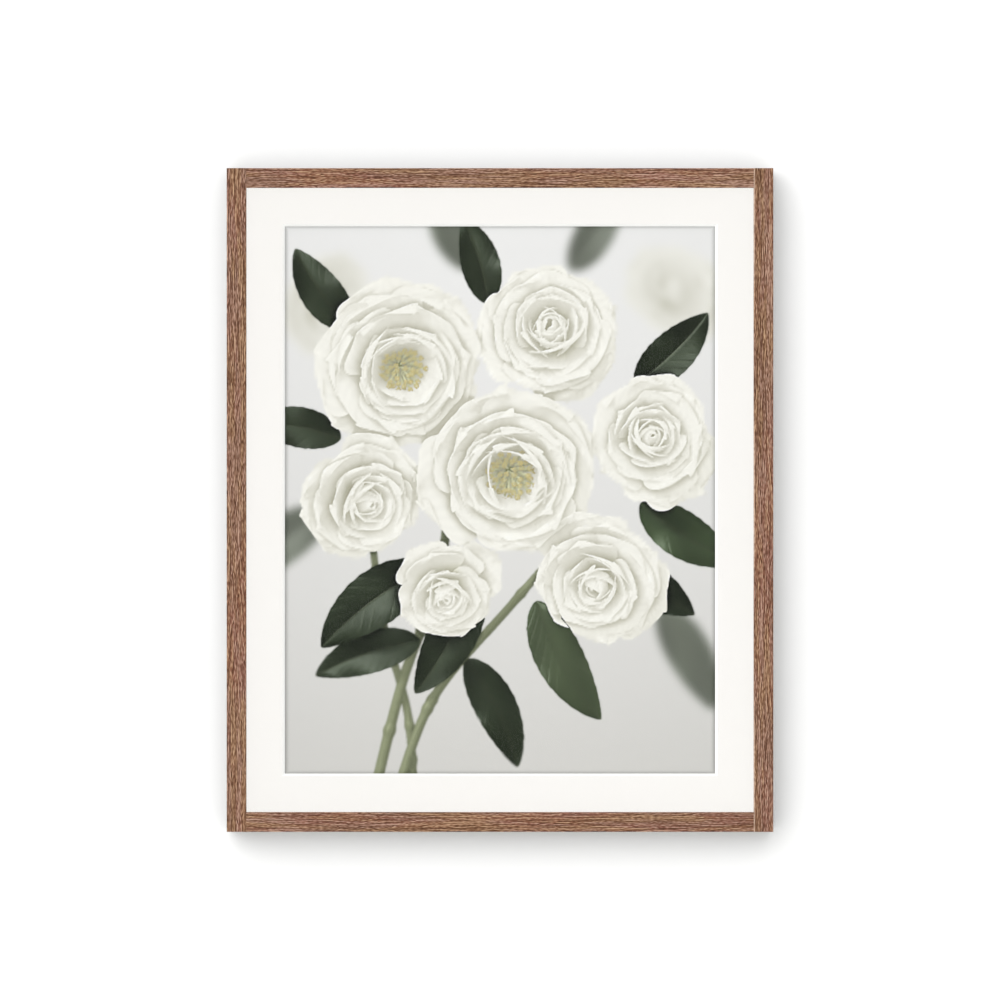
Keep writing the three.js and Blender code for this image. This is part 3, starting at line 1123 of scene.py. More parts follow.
@dataclass(frozen=True)
class Daylight:
    """Soft light from a window at the upper left, and from a sky that folds keep out.

    Each hollow is a reach in mm with how much a hollow of that size darkens. The floor is how far
    behind the middle of the design, in mm, nothing is left.
    """

    towards: tuple[float, float, float] = (-0.50, 0.60, 0.62)
    floor: float = -60.0
    hollows: tuple[tuple[float, float], ...] = ((1.0, 0.12), (3.0, 0.24), (9.0, 0.42))
    ambient: float = 0.62
    direct: float = 0.52
    gleam: str = "#dfe4e2"

    def shade(self, relief: Relief) -> tuple[np.ndarray, np.ndarray]:
        """Lights what was laid.

        Args:
            relief: The picture.

        Returns:
            The colours, and where anything was laid, both by rows and columns.
        """
        buffers = (relief.near, relief.normal, relief.lit, relief.shaded, relief.shine, relief.thin)
        near, normal, lit, shaded, shine, thin = map(relief.grid, buffers)
        laid = np.isfinite(near)
        near = np.where(laid, near, self.floor).astype(np.float32)
        sun = np.array(self.towards) / np.linalg.norm(self.towards)
        facing = normal @ sun
        open_sky = self.open_sky(near, relief.per_mm)
        cast = self.cast_shade(near, sun, relief.per_mm)
        # Petals let light through, so they stay bright where they face away from it. Leaves don't.
        through = 0.36 + 0.64 * (0.5 + 0.5 * facing)
        plain = 0.12 + 0.88 * np.clip(facing, 0, 1)
        direct = np.where(thin > 0.6, through, plain) * (1 - cast * (0.82 - 0.3 * thin))
        tone = self.ambient * open_sky * (0.78 + 0.22 * normal[..., 2])
        tone = np.clip(tone + self.direct * direct * (0.45 + 0.55 * open_sky), 0, 1)[..., None]
        half_way = sun + np.array([0, 0, 1])
        gleam = np.clip(normal @ (half_way / np.linalg.norm(half_way)), 0, 1)
        gleam = (gleam**26 * (1 - cast) + 0.25 * gleam**6) * shine * open_sky
        colours = shaded + (lit - shaded) * tone**0.85 + gleam[..., None] * tint(self.gleam)
        return np.clip(colours, 0, 1), laid.astype(np.float32)[..., None]

    def open_sky(self, near: np.ndarray, per_mm: float) -> np.ndarray:
        """Finds how much sky each spot sees.

        Args:
            near: How near each spot is, in mm.
            per_mm: Spots in a millimetre.

        Returns:
            1 out in the open, and less down in a fold.
        """
        closed = np.zeros(near.shape, np.float32)
        for reach, weight in self.hollows:
            around = soften(near, max(1, int(reach * per_mm / 1.7)))
            closed += weight * np.clip((around - near) / (reach * 1.15), 0, 1)
        return np.clip(1 - closed, 0, 1)

    def cast_shade(self, near: np.ndarray, sun: np.ndarray, per_mm: float) -> np.ndarray:
        """Finds the soft shade that things throw, by steps towards the light.

        Args:
            near: How near each spot is, in mm.
            sun: The direction of the light, of length 1.
            per_mm: Spots in a millimetre.

        Returns:
            How deep the shade is at each spot, from 0 to 1.
        """
        cast = np.zeros(near.shape, np.float32)
        level = math.hypot(sun[0], sun[1])
        for step in range(1, 23):
            away = 0.5 * step + 0.05 * step * step
            columns = round(sun[0] / level * away * per_mm)
            rows = round(-sun[1] / level * away * per_mm)
            blocker = np.roll(near, (-rows, -columns), (0, 1))
            if rows < 0:
                blocker[:-rows] = self.floor
            if columns < 0:
                blocker[:, :-columns] = self.floor
            above = blocker - near - away * sun[2] / level
            cast = np.maximum(cast, np.clip(above / (0.9 + 0.2 * away), 0, 1) * (1 - away / 46))
        return soften(cast, max(1, int(0.35 * per_mm)))


@dataclass(frozen=True)
class FloralDesign:
    """A generic design for the sheet: white camellia-like blooms, dark leaves and stems on pale grey.

    Its sizes are in mm, and so are the places of its blooms, leaves and stems: to the right, up and
    towards the viewer from its middle.
    """

    width: float
    height: float
    top: str = "#f0f0ef"
    bottom: str = "#d6d5d1"
    darkens_late: float = 1.6
    darker_sides: float = 0.016
    haze: str = "#dcdcd6"
    haze_share: float = 0.34
    far_blur: float = 2.6
    near_blur: float = 0.5
    sharp_to: float = -14.0
    blurs_over: float = 16.0

    def paint(self, per_mm: float) -> np.ndarray:
        """Paints the design.

        Args:
            per_mm: How fine it is, in spots for each millimetre.

        Returns:
            Its sRGB colours by rows, from the top, and columns.
        """
        behind, front = (Relief(self.width, self.height, per_mm) for _ in range(2))
        for relief, pieces in ((behind, self.behind()), (front, self.front())):
            for piece in pieces:
                piece.paint(relief)
        fall = np.linspace(0, 1, front.rows)[:, None, None] ** self.darkens_late
        across = np.linspace(-1, 1, front.columns)[None, :, None]
        picture = tint(self.top) * (1 - fall) + tint(self.bottom) * fall
        picture = picture * (1 - self.darker_sides * across**2)
        colours, laid = Daylight().shade(behind)
        colours = colours * (1 - self.haze_share) + tint(self.haze) * self.haze_share
        reach = int(self.far_blur * per_mm)
        picture = picture * (1 - soften(laid, reach)) + soften(colours * laid, reach)
        colours, laid = Daylight().shade(front)
        picture = (picture * (1 - laid) + colours * laid).astype(np.float32)
        reach = max(1, int(self.near_blur * per_mm))
        depth = np.where(laid > 0, front.grid(front.near)[..., None], Daylight().floor)
        unsharp = np.clip((self.sharp_to - depth) / self.blurs_over, 0, 1).astype(np.float32)
        unsharp = soften(unsharp, reach)
        return picture * (1 - unsharp) + soften(picture, reach) * unsharp

    def behind(self) -> list[Bloom | Leaf]:
        """Sets out what lies far behind, out of focus.

        Returns:
            The blooms and leaves.
        """
        return [
            Bloom(-118, 128, -40, 34, 35, 60, 24, 0.95, 21),
            Bloom(112, 132, -40, 36, -30, -20, 26, 0.95, 22),
            Leaf(46, 150, -45, 66, 24, 60, 20, 31),
            Leaf(-112, -8, -45, 80, 30, 215, 20, 32),
            Leaf(104, -70, -45, 76, 28, -60, -20, 33),
            Leaf(-16, 150, -45, 60, 24, 120, -20, 34),
        ]

    def front(self) -> list[Stem | Leaf | Bloom]:
        """Sets out what is in focus.

        Returns:
            The stems, the leaves and the blooms.
        """
        return [
            Stem([(-84, -200, -35), (-64, -120, -32), (-40, -50, -30), (-30, 30, -26)], 3.3, 2.5, 1),
            Stem([(-70, -200, -30), (-44, -130, -28), (6, -70, -26), (50, -20, -24)], 3.0, 2.2, 2),
            Stem([(-56, -200, -40), (-60, -140, -38), (-76, -80, -36), (-84, -20, -30)], 2.6, 2.0, 3),
            Leaf(-52, -92, -24, 72, 27, 196, 22, 12),
            Leaf(-22, -104, -26, 78, 27, -62, -24, 13),
            Leaf(-46, -44, -14, 88, 36, 214, 25, 4),
            Leaf(-16, -52, -12, 84, 32, -116, -20, 5),
            Leaf(36, -40, -12, 98, 36, -18, -30, 6),
            Leaf(24, -66, -10, 88, 31, -64, 24, 7, lit="#4a553e", shaded="#161b14"),
            Leaf(92, -2, -14, 74, 30, -34, 20, 8, lit="#3d4a33"),
            Leaf(-96, 112, -12, 64, 27, 128, -22, 9),
            Leaf(88, 76, -16, 66, 28, 42, 20, 10),
            Leaf(-8, 128, -18, 58, 25, 104, 22, 11),
            Leaf(-104, 40, -16, 60, 26, 168, 22, 14),
            Bloom(34, 106, -8, 47, -16, 10, 40, 1.0, 3),
            Bloom(-66, 88, -4, 50, 14, 40, 38, 0.62, 4),
            Bloom(96, 40, -2, 43, -10, -60, 36, 1.0, 5),
            Bloom(6, 20, 8, 55, 12, 16, 42, 0.66, 6),
            Bloom(66, -50, 4, 42, 22, -30, 36, 1.0, 7),
            Bloom(-92, 2, 2, 42, 22, 56, 36, 1.0, 8),
            Bloom(-36, -56, 6, 33, 30, 8, 30, 0.95, 9),
        ]


# -------------------------------------------------------------------------------- frame members


@dataclass
class FrameMembers:
    """The two stiles and the two rails: their shapes are the model's own, their wood is made here."""

    face_mm: float = 12.7
    highlight_band_mm: float = 0.8

    def dress(self) -> None:
        """Gives each member its own run of grain, and the right stile a painted highlight at the sight edge.
        """
        right = middle("stile_right") + extent("stile_right") / 2
        sight = right.x / MM - self.face_mm
        members = (
            ("stile_left", Grain.UPRIGHT, 11.0, None),
            # The right stile gets a painted highlight along its sight edge.
            ("stile_right", Grain.UPRIGHT, 47.0, (sight, sight + self.highlight_band_mm)),
            ("rail_top", Grain.LEVEL, 83.0, None),
            ("rail_bottom", Grain.LEVEL, 129.0, None),
        )
        for node, *own in members:
            dressed(node, BrushedOak(f"brushed_oak_{node}", *own).make(), shades=False)


# ------------------------------------------------------------------------------------- the stack

WINDOW = mm(280.4, 0, 357.6)  # how large the mat's window is cut


@dataclass
class WindowMat:
    """The ivory board with its bevelled window."""

    air_mm: float = 0.05
    eased_mm: float = 0.06

    def build(self) -> None:
        """Cuts the window at 45 degrees out of a plain sheet, and closes the back."""
        centre, size = middle("window_mat"), extent("window_mat")
        front = centre - Vector((0, size.y / 2 - self.air_mm * MM, 0))
        size.y -= self.air_mm * MM
        through = Vector((0, size.y, 0))
        mouth = WINDOW + 2 * Vector((size.y, 0, size.y))
        edge = size.x / 2 - MM, size.z / 2 - MM
        piece = primitive("plane", "window_mat_board", front, (size.x, size.z, 1), size=1)
        with editing(piece):
            bpy.ops.mesh.select_all(action="SELECT")
            bpy.ops.mesh.inset(thickness=(size.x - mouth.x) / 2)
            pick(piece, "faces", lambda at, _: (at - front).length < MM)
            extrude(through, (WINDOW.x / mouth.x, 1, WINDOW.z / mouth.z), centre)
            bpy.ops.mesh.delete(type="FACE")
        with editing(piece, "EDGE"):
            pick(piece, "edges", lambda at, _: abs(at.x) > edge[0] or abs(at.z - centre.z) > edge[1])
            extrude(through)
            pick(piece, "edges", lambda at, _: at.y > centre.y + 0.4 * size.y)
            bpy.ops.mesh.bridge_edge_loops()
        outwards(piece)
        for finish in (MAT_FACE, MAT_CORE):
            piece.data.materials.append(finish.make())
        with editing(piece):
            pick(piece, "faces", lambda _, facing: 0.3 < -facing.y < 0.9)
            piece.active_material_index = 1
            bpy.ops.object.material_slot_assign()
        eased(piece, self.eased_mm, 0.5)
        smoothed(piece, 20)
        settled(piece, "mat_board", "window_mat")


@dataclass
class PrintSheet:
    """The sheet of paper with its printed design and a painted shade by the window, as fine points of colour
    on the mesh itself.
    """

    design: FloralDesign = field(default_factory=lambda: FloralDesign(284.0, 360.0))
    per_mm: float = field(default_factory=lambda: 3.0)
    cell_mm: float = 2.0
    most_triangles: int = 190_000
    triangles_for_a_cell: float = 7.2
    least_missed: float = 0.0012
    crispness: float = 0.5
    paper: str = "#e4e3df"
    full_light: float = 1.21
    shade_band_mm: float = 3.2
    shade_reach_mm: float = 1.7
    shade_depth: float = 0.42

    def build(self) -> None:
        """Lays the grid, makes it finer where the design has detail, inks it and closes the sheet."""
        picture = self.design.paint(self.per_mm)
        picture = np.clip(picture + self.crispness * (picture - soften(picture, 1)), 0, 1)
        log.info("painted the design, %d by %d spots", picture.shape[1], picture.shape[0])
        wide, high = self.design.width, self.design.height
        cells = {"x_subdivisions": round(wide / self.cell_mm), "y_subdivisions": round(high / self.cell_mm)}
        piece = primitive("grid", "printed_sheet", self.front(), (wide * MM, high * MM, 1), size=1, **cells)
        for level, budget in ((1, 0.66), (2, 1.0)):
            self.refine(piece, picture, self.cell_mm / level, budget)
        self.close(piece)
        self.ink_and_painted_shade(piece, picture)
        settled(piece, "print_paper", "print_sheet", PrintedPaper().make())

    def front(self) -> Vector:
        """Returns the middle of the printed face."""
        return middle("print_sheet") - Vector((0, extent("print_sheet").y / 2, 0))

    def spots(self, points: np.ndarray, picture: np.ndarray) -> list[np.ndarray]:
        """Finds where points of the sheet lie in the design.

        Args:
            points: The points (number, 3), in metres.
            picture: The design's colours.

        Returns:
            Their rows and their columns, with fractions, all within the picture.
        """
        centre = self.front()
        row = (self.design.height / 2 - (points[:, 2] - centre.z) / MM) * self.per_mm - 0.5
        column = ((points[:, 0] - centre.x) / MM + self.design.width / 2) * self.per_mm - 0.5
        return [np.clip(spot, 0, most - 1.001) for spot, most in zip((row, column), picture.shape)]

    def inside(self, points: np.ndarray) -> np.ndarray:
        """Measures how far points lie in from the window's edge.

        Args:
            points: The points (number, 3), in metres.

        Returns:
            The distances in mm, below 0 for what is under the mat.
        """
        centre = self.front()
        across = WINDOW.x / 2 - np.abs(points[:, 0] - centre.x)
        upright = WINDOW.z / 2 - np.abs(points[:, 2] - centre.z)
        return np.minimum(across, upright) / MM

    def refine(self, piece: bpy.types.Object, picture: np.ndarray, cell_mm: float, part: float) -> None:
        """Halves the cells in which straight lines between corners would miss the most.

        Args:
            piece: The grid.
            picture: The design's colours.
            cell_mm: How large the cells are that may be halved.
            part: How much of the triangle budget may be used up by then.
        """
        grey = picture.mean(axis=2)
        missed = np.abs(grey - soften(grey, max(1, round(cell_mm * self.per_mm / 3))))
        missed = soften(missed, max(1, round(cell_mm * self.per_mm / 4)))
        faces = piece.data.polygons
        centres, areas = gathered(faces, "center", 3), gathered(faces, "area", 1)[:, 0]
        row, column = (np.round(spot).astype(int) for spot in self.spots(centres, picture))
        deep = self.inside(centres)
        shaded = (deep > -cell_mm) & (deep < self.shade_band_mm)
        whole = areas > 0.9 * (cell_mm * MM) ** 2
        worth = np.where(whole, missed[row, column] + shaded, 0)
        triangles = sum(len(face.vertices) - 2 for face in faces)
        room = int((self.most_triangles * part - triangles) / self.triangles_for_a_cell)
        wanted = min(room, int(whole.sum()))
        limit = max(np.partition(worth, -wanted)[-wanted], self.least_missed)
        with editing(piece):
            mesh = bmesh.from_edit_mesh(piece.data)
            mesh.faces.ensure_lookup_table()
            for index in np.flatnonzero(worth >= limit):
                mesh.faces[index].select_set(True)
            bmesh.update_edit_mesh(piece.data)
            bpy.ops.mesh.subdivide(number_cuts=1)
        log.info("cells of %.1f mm: %d halved, %d faces", cell_mm, (worth >= limit).sum(), len(faces))

    def close(self, piece: bpy.types.Object) -> None:
        """Widens the sheet to its full size, unprinted, and gives it its thickness and back.

        Args:
            piece: The printed grid.
        """
        size, centre = extent("print_sheet"), self.front()
        wider = (size.x / (self.design.width * MM), 1, size.z / (self.design.height * MM))
        with editing(piece, "EDGE"):
            bpy.ops.mesh.select_non_manifold(extend=False, use_boundary=True, use_wire=False)
            extrude(Vector(), wider, centre)
            extrude(Vector((0, size.y, 0)))
            bpy.ops.mesh.edge_face_add()
        outwards(piece)

    def ink_and_painted_shade(self, piece: bpy.types.Object, picture: np.ndarray) -> None:
        """Gives each point of the sheet the colour of the design there, with a painted shade along the
        window, and bare paper round it.

        Args:
            piece: The closed sheet.
            picture: The design's colours.
        """
        points = gathered(piece.data.vertices, "co", 3)
        row, column = self.spots(points, picture)
        # Each point takes a mix of the four spots round it.
        top, left = row.astype(int), column.astype(int)
        down, along = (row - top)[:, None], (column - left)[:, None]
        upper = picture[top, left] * (1 - along) + picture[top, left + 1] * along
        lower = picture[top + 1, left] * (1 - along) + picture[top + 1, left + 1] * along
        # The thin, soft shade that the mat throws along the window is painted into the colours.
        deep = np.clip(self.inside(points), 0, None)
        shade = 1 - self.shade_depth * np.exp(-((deep / self.shade_reach_mm) ** 2))
        colour = linear(upper * (1 - down) + lower * down) / self.full_light * shade[:, None]
        centre = self.front()
        away = np.abs(points - np.array(centre)) / MM
        half_wide, half_high = self.design.width / 2 + 0.1, self.design.height / 2 + 0.1
        behind = points[:, 1] > centre.y + 0.1 * MM
        colour[behind | (away[:, 0] > half_wide) | (away[:, 2] > half_high)] = linear(self.paper)[:3]
        opaque = np.column_stack([colour, np.ones(len(colour))]).astype(np.float32)
        ink_and_painted_shade = piece.data.color_attributes.new(PrintedPaper().attribute, "FLOAT_COLOR", "POINT")
        ink_and_painted_shade.data.foreach_set("color", opaque.ravel())


@dataclass
class Stack:
    """What lies in the frame: glass, mat, printed sheet and backing board."""

    mat: WindowMat = field(default_factory=WindowMat)
    sheet: PrintSheet = field(default_factory=PrintSheet)

    def build(self) -> None:
        """Builds the mat and the sheet, and dresses the glass and the board."""
        self.mat.build()
        self.sheet.build()
        dressed("glazing", PictureGlass().make(), shades=False)
        dressed("backing_board", HARDBOARD.make())


# ---------------------------------------------------------------------------------- the fittings


@dataclass
class FlexPoints:
    """Flexible steel tabs that hold the stack in, pressed flat on the board."""

    count: int = 14
    bite_mm: float = 6.0
    tip_mm: float = 3.0
    tip_width: float = 0.08
    reach_mm: float = 10.0
    width_mm: float = 7.5
    gauge_mm: float = 0.4
    curl_from_mm: float = 5.0
    curl_rise_mm: float = 1.1
    corner_mm: float = 2.5
    stations_mm: tuple[float, ...] = (6.2, 7.5, 8.3, 9.0, 9.5, 9.8, 9.95)
    eased_mm: float = 0.09

    def half_width(self, at: float) -> float:
        """Rounds the tab off at its end.

        Args:
            at: A distance in mm from the wood.

        Returns:
            Half the tab's width there, in mm.
        """
        into = at - (self.reach_mm - self.corner_mm)
        if into <= 0:
            return self.width_mm / 2
        return self.width_mm / 2 - self.corner_mm + math.sqrt(max(self.corner_mm**2 - into**2, 0))

    def rise(self, at: float) -> float:
        """Returns how far in mm the tab stands off the board at a distance in mm from the wood."""
        part = max(at - self.curl_from_mm, 0) / (self.reach_mm - self.curl_from_mm)
        return self.curl_rise_mm * part**2

    def tab(self) -> bpy.types.Object:
        """Shapes one tab.

        Returns:
            The tab, with its tip at negative X and its free end curled towards +Y.
        """
        start = self.tip_mm - self.bite_mm
        length = self.curl_from_mm - start
        flat = (length * MM, self.width_mm * MM, 1)
        piece = primitive("plane", "flex_tab", mm(start + length / 2, 0, 0), flat, size=1)
        with editing(piece, "EDGE"):
            pick(piece, "edges", lambda at, _: at.x < (start + 0.1) * MM)
            extrude(mm(-self.tip_mm, 0, 0), (1, 1, self.tip_width))
            pick(piece, "edges", lambda at, _: at.x > (self.curl_from_mm - 0.1) * MM)
            before = self.curl_from_mm
            for station in self.stations_mm:
                step = mm(station - before, self.rise(station) - self.rise(before), 0)
                extrude(step, (1, 1, self.half_width(station) / self.half_width(before)))
                before = station
        modified(piece, "SOLIDIFY", thickness=self.gauge_mm * MM, offset=-1)
        outwards(piece)
        eased(piece, self.eased_mm, 0.8)
        smoothed(piece)
        return piece

    def build(self) -> None:
        """Copies the tab to every place, each with a mesh of its own, turned to its side of the frame."""
        board, quarter = extent("backing_board"), math.pi / 2
        pattern = self.tab()
        finish = BLUED_STEEL.make()
        own_middle = (Vector(pattern.bound_box[0]) + Vector(pattern.bound_box[6])) / 2
        for number in range(1, self.count + 1):
            node = f"flex_point_{number:02d}"
            away = middle(node) - middle("backing_board")
            bearing = math.atan2(away.z / board.z, -away.x / board.x)
            turn = Matrix.Rotation(round(bearing / quarter) * quarter, 4, "Y")
            piece = bpy.data.objects.new(f"{node}_tab", pattern.data.copy())
            bpy.context.collection.objects.link(piece)
            piece.data.transform(Matrix.Translation(middle(node)) @ turn @ Matrix.Translation(-own_middle))
            settled(piece, "point_steel", node, finish)
        bpy.data.objects.remove(pattern)


@dataclass
class SawtoothHanger:
    """The pressed steel hanger, whose middle notch takes the wall nail."""

    width_mm: float = 42.0
    top_mm: float = 8.0
    gauge_mm: float = 0.8
    raised_mm: float = 11.5
    ramp_mm: float = 2.0
    rise_mm: float = 1.2
    pitch_mm: float = 3.0
    tooth_mm: float = 1.5
    teeth: int = 7
    corner_mm: float = 2.0
    hole_x_mm: float = 17.0
    hole_z_mm: float = 4.25
    hole_radius_mm: float = 0.85
    eased_mm: float = 0.12

    def build(self) -> None:
        """Draws the plate out station by station, files its teeth and bores it."""
        half = self.width_mm / 2
        foot = half - self.raised_mm - self.ramp_mm
        height = self.top_mm + self.tooth_mm
        flat = self.raised_mm - self.teeth * self.pitch_mm / 2
        notches = [(index - (self.teeth - 1) / 2) * self.pitch_mm for index in range(self.teeth)]
        moves = [(self.ramp_mm, self.rise_mm), (flat, 0.0)] + [(self.pitch_mm / 2, 0.0)] * (2 * self.teeth)
        moves += [(flat, 0.0), (self.ramp_mm, -self.rise_mm), (foot, 0.0)]
        at = mm(foot / 2 - half, 0, height / 2 - self.tooth_mm)
        piece = primitive("plane", "sawtooth_hanger_plate", at, (foot * MM, height * MM, 1), size=1)
        with editing(piece, "EDGE"):
            pick(piece, "edges", lambda at, _: at.x > (foot - half - 0.1) * MM)
            for across, up in moves:
                extrude(mm(across, up, 0))
        with editing(piece, "VERT"):
            pick(piece, "verts", lambda at, _: at.z < 0 and min(abs(at.x / MM - x) for x in notches) < 0.1)
            bpy.ops.transform.translate(value=mm(0, 0, self.tooth_mm))
            pick(piece, "verts", lambda at, _: abs(at.x) > (half - 0.1) * MM)
            bpy.ops.mesh.bevel(offset=self.corner_mm * MM, segments=6, affect="VERTICES")
        modified(piece, "SOLIDIFY", thickness=self.gauge_mm * MM, offset=-1)
        outwards(piece)
        for side in (-1, 1):
            self.bore(piece, mm(side * self.hole_x_mm, self.gauge_mm / 2, self.hole_z_mm))
        eased(piece, self.eased_mm, 0.6)
        smoothed(piece)
        settled(piece, "hanger_steel", "sawtooth_hanger", BRASS_PLATE.make())

    def bore(self, piece: bpy.types.Object, at: Vector) -> None:
        """Cuts a round hole along Y through a piece.

        Args:
            piece: The piece.
            at: The hole's middle.
        """
        drill = {"radius": self.hole_radius_mm * MM, "depth": 4 * self.gauge_mm * MM}
        cutter = primitive("cylinder", "drill", at, vertices=24, **drill)
        modified(piece, "BOOLEAN", operation="DIFFERENCE", object=cutter, solver="EXACT")
        bpy.data.objects.remove(cutter)


@dataclass
class HangerNail:
    """One of the short round-headed nails through the hanger."""

    head_mm: float = 1.7
    head_high_mm: float = 0.6
    dome_mm: float = 0.7
    shank_mm: float = 0.7
    length_mm: float = 9.0
    tip_mm: float = 1.5
    eased_mm: float = 0.22

    def build(self, node: str, finish: bpy.types.Material) -> None:
        """Turns a nail: a domed head, a shank and a point, along Y.

        Args:
            node: The nail's node.
            finish: Its metal.
        """
        centre, size = middle(node), extent(node)
        at = centre + Vector((0, (size.y - self.head_high_mm * MM) / 2, 0))
        head = {"radius": self.head_mm * MM, "depth": self.head_high_mm * MM}
        piece = primitive("cylinder", f"{node}_pin", at, vertices=28, **head)
        axis = Vector((centre.x, 0, centre.z))
        with editing(piece):
            pick(piece, "faces", lambda _, facing: facing.y > 0.9)
            bpy.ops.mesh.inset(thickness=self.dome_mm * MM)
            extrude(Vector(), (0.6, 1, 0.6), axis)
            pick(piece, "faces", lambda _, facing: facing.y < -0.9)
            bpy.ops.mesh.inset(thickness=(self.head_mm - self.shank_mm) * MM)
            extrude(mm(0, self.tip_mm - self.length_mm, 0))
            extrude(mm(0, -self.tip_mm, 0), (0.06, 1, 0.06), axis)
        eased(piece, self.eased_mm, 1.0, segments=3)
        outwards(piece)
        smoothed(piece, 40)
        settled(piece, "nail_steel", node, finish)


@dataclass
class Bumper:
    """A round rubber pad on a bottom corner of the back."""

    rim_mm: float = 0.9
    lip_mm: float = 0.8
    dish_mm: float = 0.25

    def build(self, node: str, finish: bpy.types.Material) -> None:
        """Moulds a pad with a rounded rim and a shallow dish in its face.

        Args:
            node: The pad's node.
            finish: Its rubber.
        """
        centre, size = middle(node), extent(node)
        rim = centre.y + size.y / 2
        puck = {"radius": size.x / 2, "depth": size.y}
        piece = primitive("cylinder", f"{node}_pad", centre, vertices=48, **puck)
        with editing(piece, "EDGE"):
            pick(piece, "edges", lambda at, _: at.y > rim - 0.01 * MM)
            bpy.ops.mesh.bevel(offset=self.rim_mm * MM, segments=6, affect="EDGES")
        with editing(piece):
            pick(piece, "faces", lambda at, facing: facing.y > 0.9 and (at - centre).xz.length < 0.1 * MM)
            bpy.ops.mesh.inset(thickness=self.lip_mm * MM)
            extrude(mm(0, -self.dish_mm, 0), (0.85, 1, 0.85), centre)
        smoothed(piece)
        settled(piece, "pad_rubber", node, finish)


@dataclass
class BackFittings:
    """Everything that shows on the back of the frame."""

    points: FlexPoints = field(default_factory=FlexPoints)
    hanger: SawtoothHanger = field(default_factory=SawtoothHanger)

    def build(self) -> None:
        """Builds the tabs, the hanger with its nails and the pads, and dresses the corner nails."""
        self.points.build()
        self.hanger.build()
        zinc, rubber = ZINC_PLATE.make(), SoftRubber().make()
        for side in ("left", "right"):
            HangerNail().build(f"hanger_nail_{side}", zinc)
            Bumper().build(f"bumper_{side}", rubber)
        for corner in ("top_left", "top_right", "bottom_left", "bottom_right"):
            dressed(f"corner_v_nail_{corner}", zinc)


# ------------------------------------------------------------------------------------ the studio


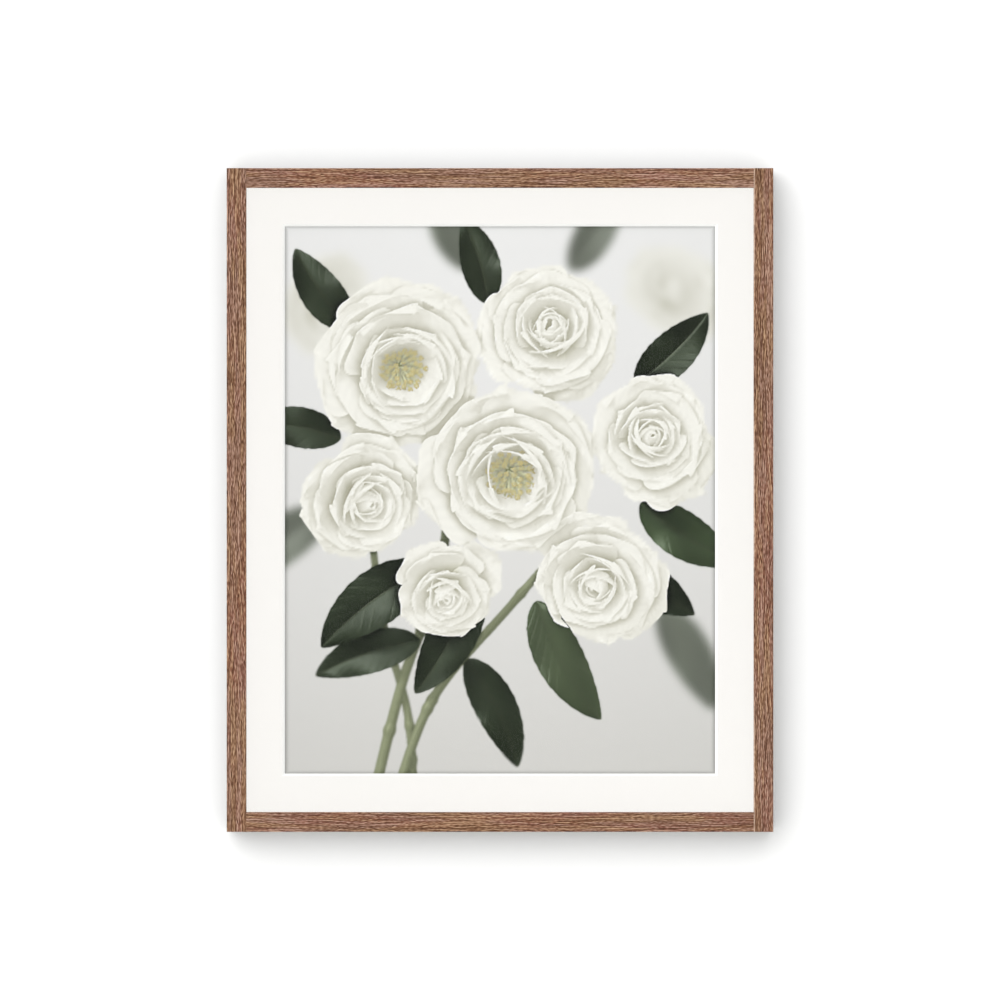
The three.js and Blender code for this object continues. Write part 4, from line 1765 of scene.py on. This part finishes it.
@dataclass
class Studio:
    """A white wall to hang on, a pale floor far below, soft light and the camera.

    The strengths are how bright each light makes a white surface that faces it.
    """

    wall_size: float = 9.0
    wall_paint: str = "#ffffff"
    floor_size: float = 60.0
    floor_drop: float = 1.5
    floor_paint: str = "#dbdbd9"
    flag_inset_mm: float = 0.3
    thin_flag_mm: float = 1.0
    sky: float = 0.56
    window: float = 2.11
    window_focus: float = 3.34
    window_towards: tuple[float, float, float] = (-0.67, -1.0, 0.80)
    behind: float = 0.5
    back_light: float = 0.25
    back_light_towards: tuple[float, float, float] = (0.6, 1.0, 0.9)
    back_light_spread_degrees: float = 25.0
    lens_mm: float = 200.0
    sensor_mm: float = 36.0
    seen_width: float = 0.6505

    def build(self) -> None:
        """Puts up the wall, lays the floor on both sides of it, and hangs the flags and the lights."""
        at = Vector((0, MODEL_BOX[1][1] + 0.02 * MM, 0))
        paint = RoomPaint("matt_wall_paint", self.wall_paint, one_sided=True).make()
        staged(primitive("plane", "wall", at, size=self.wall_size), paint, "shadow", "diffuse")
        at = Vector((0, 0, -self.floor_drop))
        paint = RoomPaint("matt_floor_paint", self.floor_paint).make()
        staged(primitive("plane", "floor", at, upright=False, size=self.floor_size), paint)
        self.flags()
        self.room_light()
        self.back_lamp()
        self.camera()

    def flags(self) -> None:
        """Hides dark flags in the frame members, two along each side, where only light meets them.

        The light in the photograph is so soft that the lip doesn't shade the mat. So the members let
        it by. A thin tall flag and a broad low one in each keep it off the wall and out of the recess.
        """
        low, high = Vector(MODEL_BOX[0]), Vector(MODEL_BOX[1])
        mat_front = middle("window_mat").y - extent("window_mat").y / 2
        broad = high.x - extent("backing_board").x / 2 - 0.9 * MM
        inset = self.flag_inset_mm
        cloth = FlagCloth().make()
        for deep, front in ((self.thin_flag_mm * MM, low.y + inset * MM), (broad, mat_front + 0.1 * MM)):
            sides = (
                (low.x, low.x + deep, low.z, high.z),
                (high.x - deep, high.x, low.z, high.z),
                (low.x, high.x, low.z, low.z + deep),
                (low.x, high.x, high.z - deep, high.z),
            )
            for left, right, bottom, top in sides:
                start = Vector((left, front, bottom)) + mm(inset, 0, inset)
                end = Vector((right, 0, top)) - mm(inset, inset, inset)
                flag = primitive("cube", "light_flag", (start + end) / 2, end - start, upright=False, size=1)
                staged(flag, cloth, "camera", "glossy")

    def room_light(self) -> None:
        """Makes an even glow, brighter towards a large window on the upper left and behind."""
        world = bpy.data.worlds.new("room")
        world.use_nodes = True
        tree = world.node_tree
        tree.nodes.clear()
        direction = add(tree, "TexCoord").outputs["Generated"]
        towards = Vector(self.window_towards).normalized()
        near = add(tree, "VectorMath", (direction, towards), operation="DOT_PRODUCT")
        near = add(tree, "Math", (near, 0.0), operation="MAXIMUM")
        window = add(tree, "Math", (near, self.window_focus), operation="POWER")
        away = add(tree, "SeparateXYZ", (direction,)).outputs["Y"]
        away = add(tree, "Math", (away, 0.0), operation="MAXIMUM")
        glow: Feed = self.sky
        for part, much in ((away, self.behind), (window, self.window)):
            glow = add(tree, "Math", (part, much, glow), operation="MULTIPLY_ADD")
        white = add(tree, "Background", {"Color": (1, 1, 1, 1), "Strength": glow})
        add(tree, "OutputWorld", {"Surface": white})
        bpy.context.scene.world = world

    def back_lamp(self) -> None:
        """Adds a broad, far lamp behind the wall, which gives the fittings on the back some form."""
        lamp = bpy.data.lights.new("back_lamp", "SUN")
        lamp.energy = self.back_light * math.pi
        lamp.angle = math.radians(self.back_light_spread_degrees)
        light = bpy.data.objects.new("back_lamp", lamp)
        light.rotation_euler = Vector(self.back_light_towards).to_track_quat("Z", "Y").to_euler()
        bpy.context.collection.objects.link(light)

    def camera(self) -> None:
        """Places the camera square to the middle of the picture."""
        away = self.seen_width * self.lens_mm / self.sensor_mm
        camera = bpy.data.objects.new("camera", bpy.data.cameras.new("camera"))
        camera.data.lens = self.lens_mm
        camera.data.sensor_width = self.sensor_mm
        camera.data.clip_end = 50
        camera.location = (0, MODEL_BOX[0][1] - away, middle("window_mat").z)
        camera.rotation_euler = (math.pi / 2, 0, 0)
        bpy.context.collection.objects.link(camera)
        bpy.context.scene.camera = camera
        bpy.context.scene.view_settings.view_transform = "Standard"


# --------------------------------------------------------------------------------------- making


def plain(box: tuple) -> list[list[float]]:
    """Returns a box as plain lists of numbers."""
    return [[float(number) for number in corner] for corner in box]


def main() -> None:
    """Builds the print from its frame to its fittings, then the room it hangs in."""
    logging.basicConfig(level=logging.INFO, format="%(name)s: %(message)s")
    FrameMembers().dress()
    Stack().build()
    BackFittings().build()
    Studio().build()


if __name__ == "__main__":
    main()
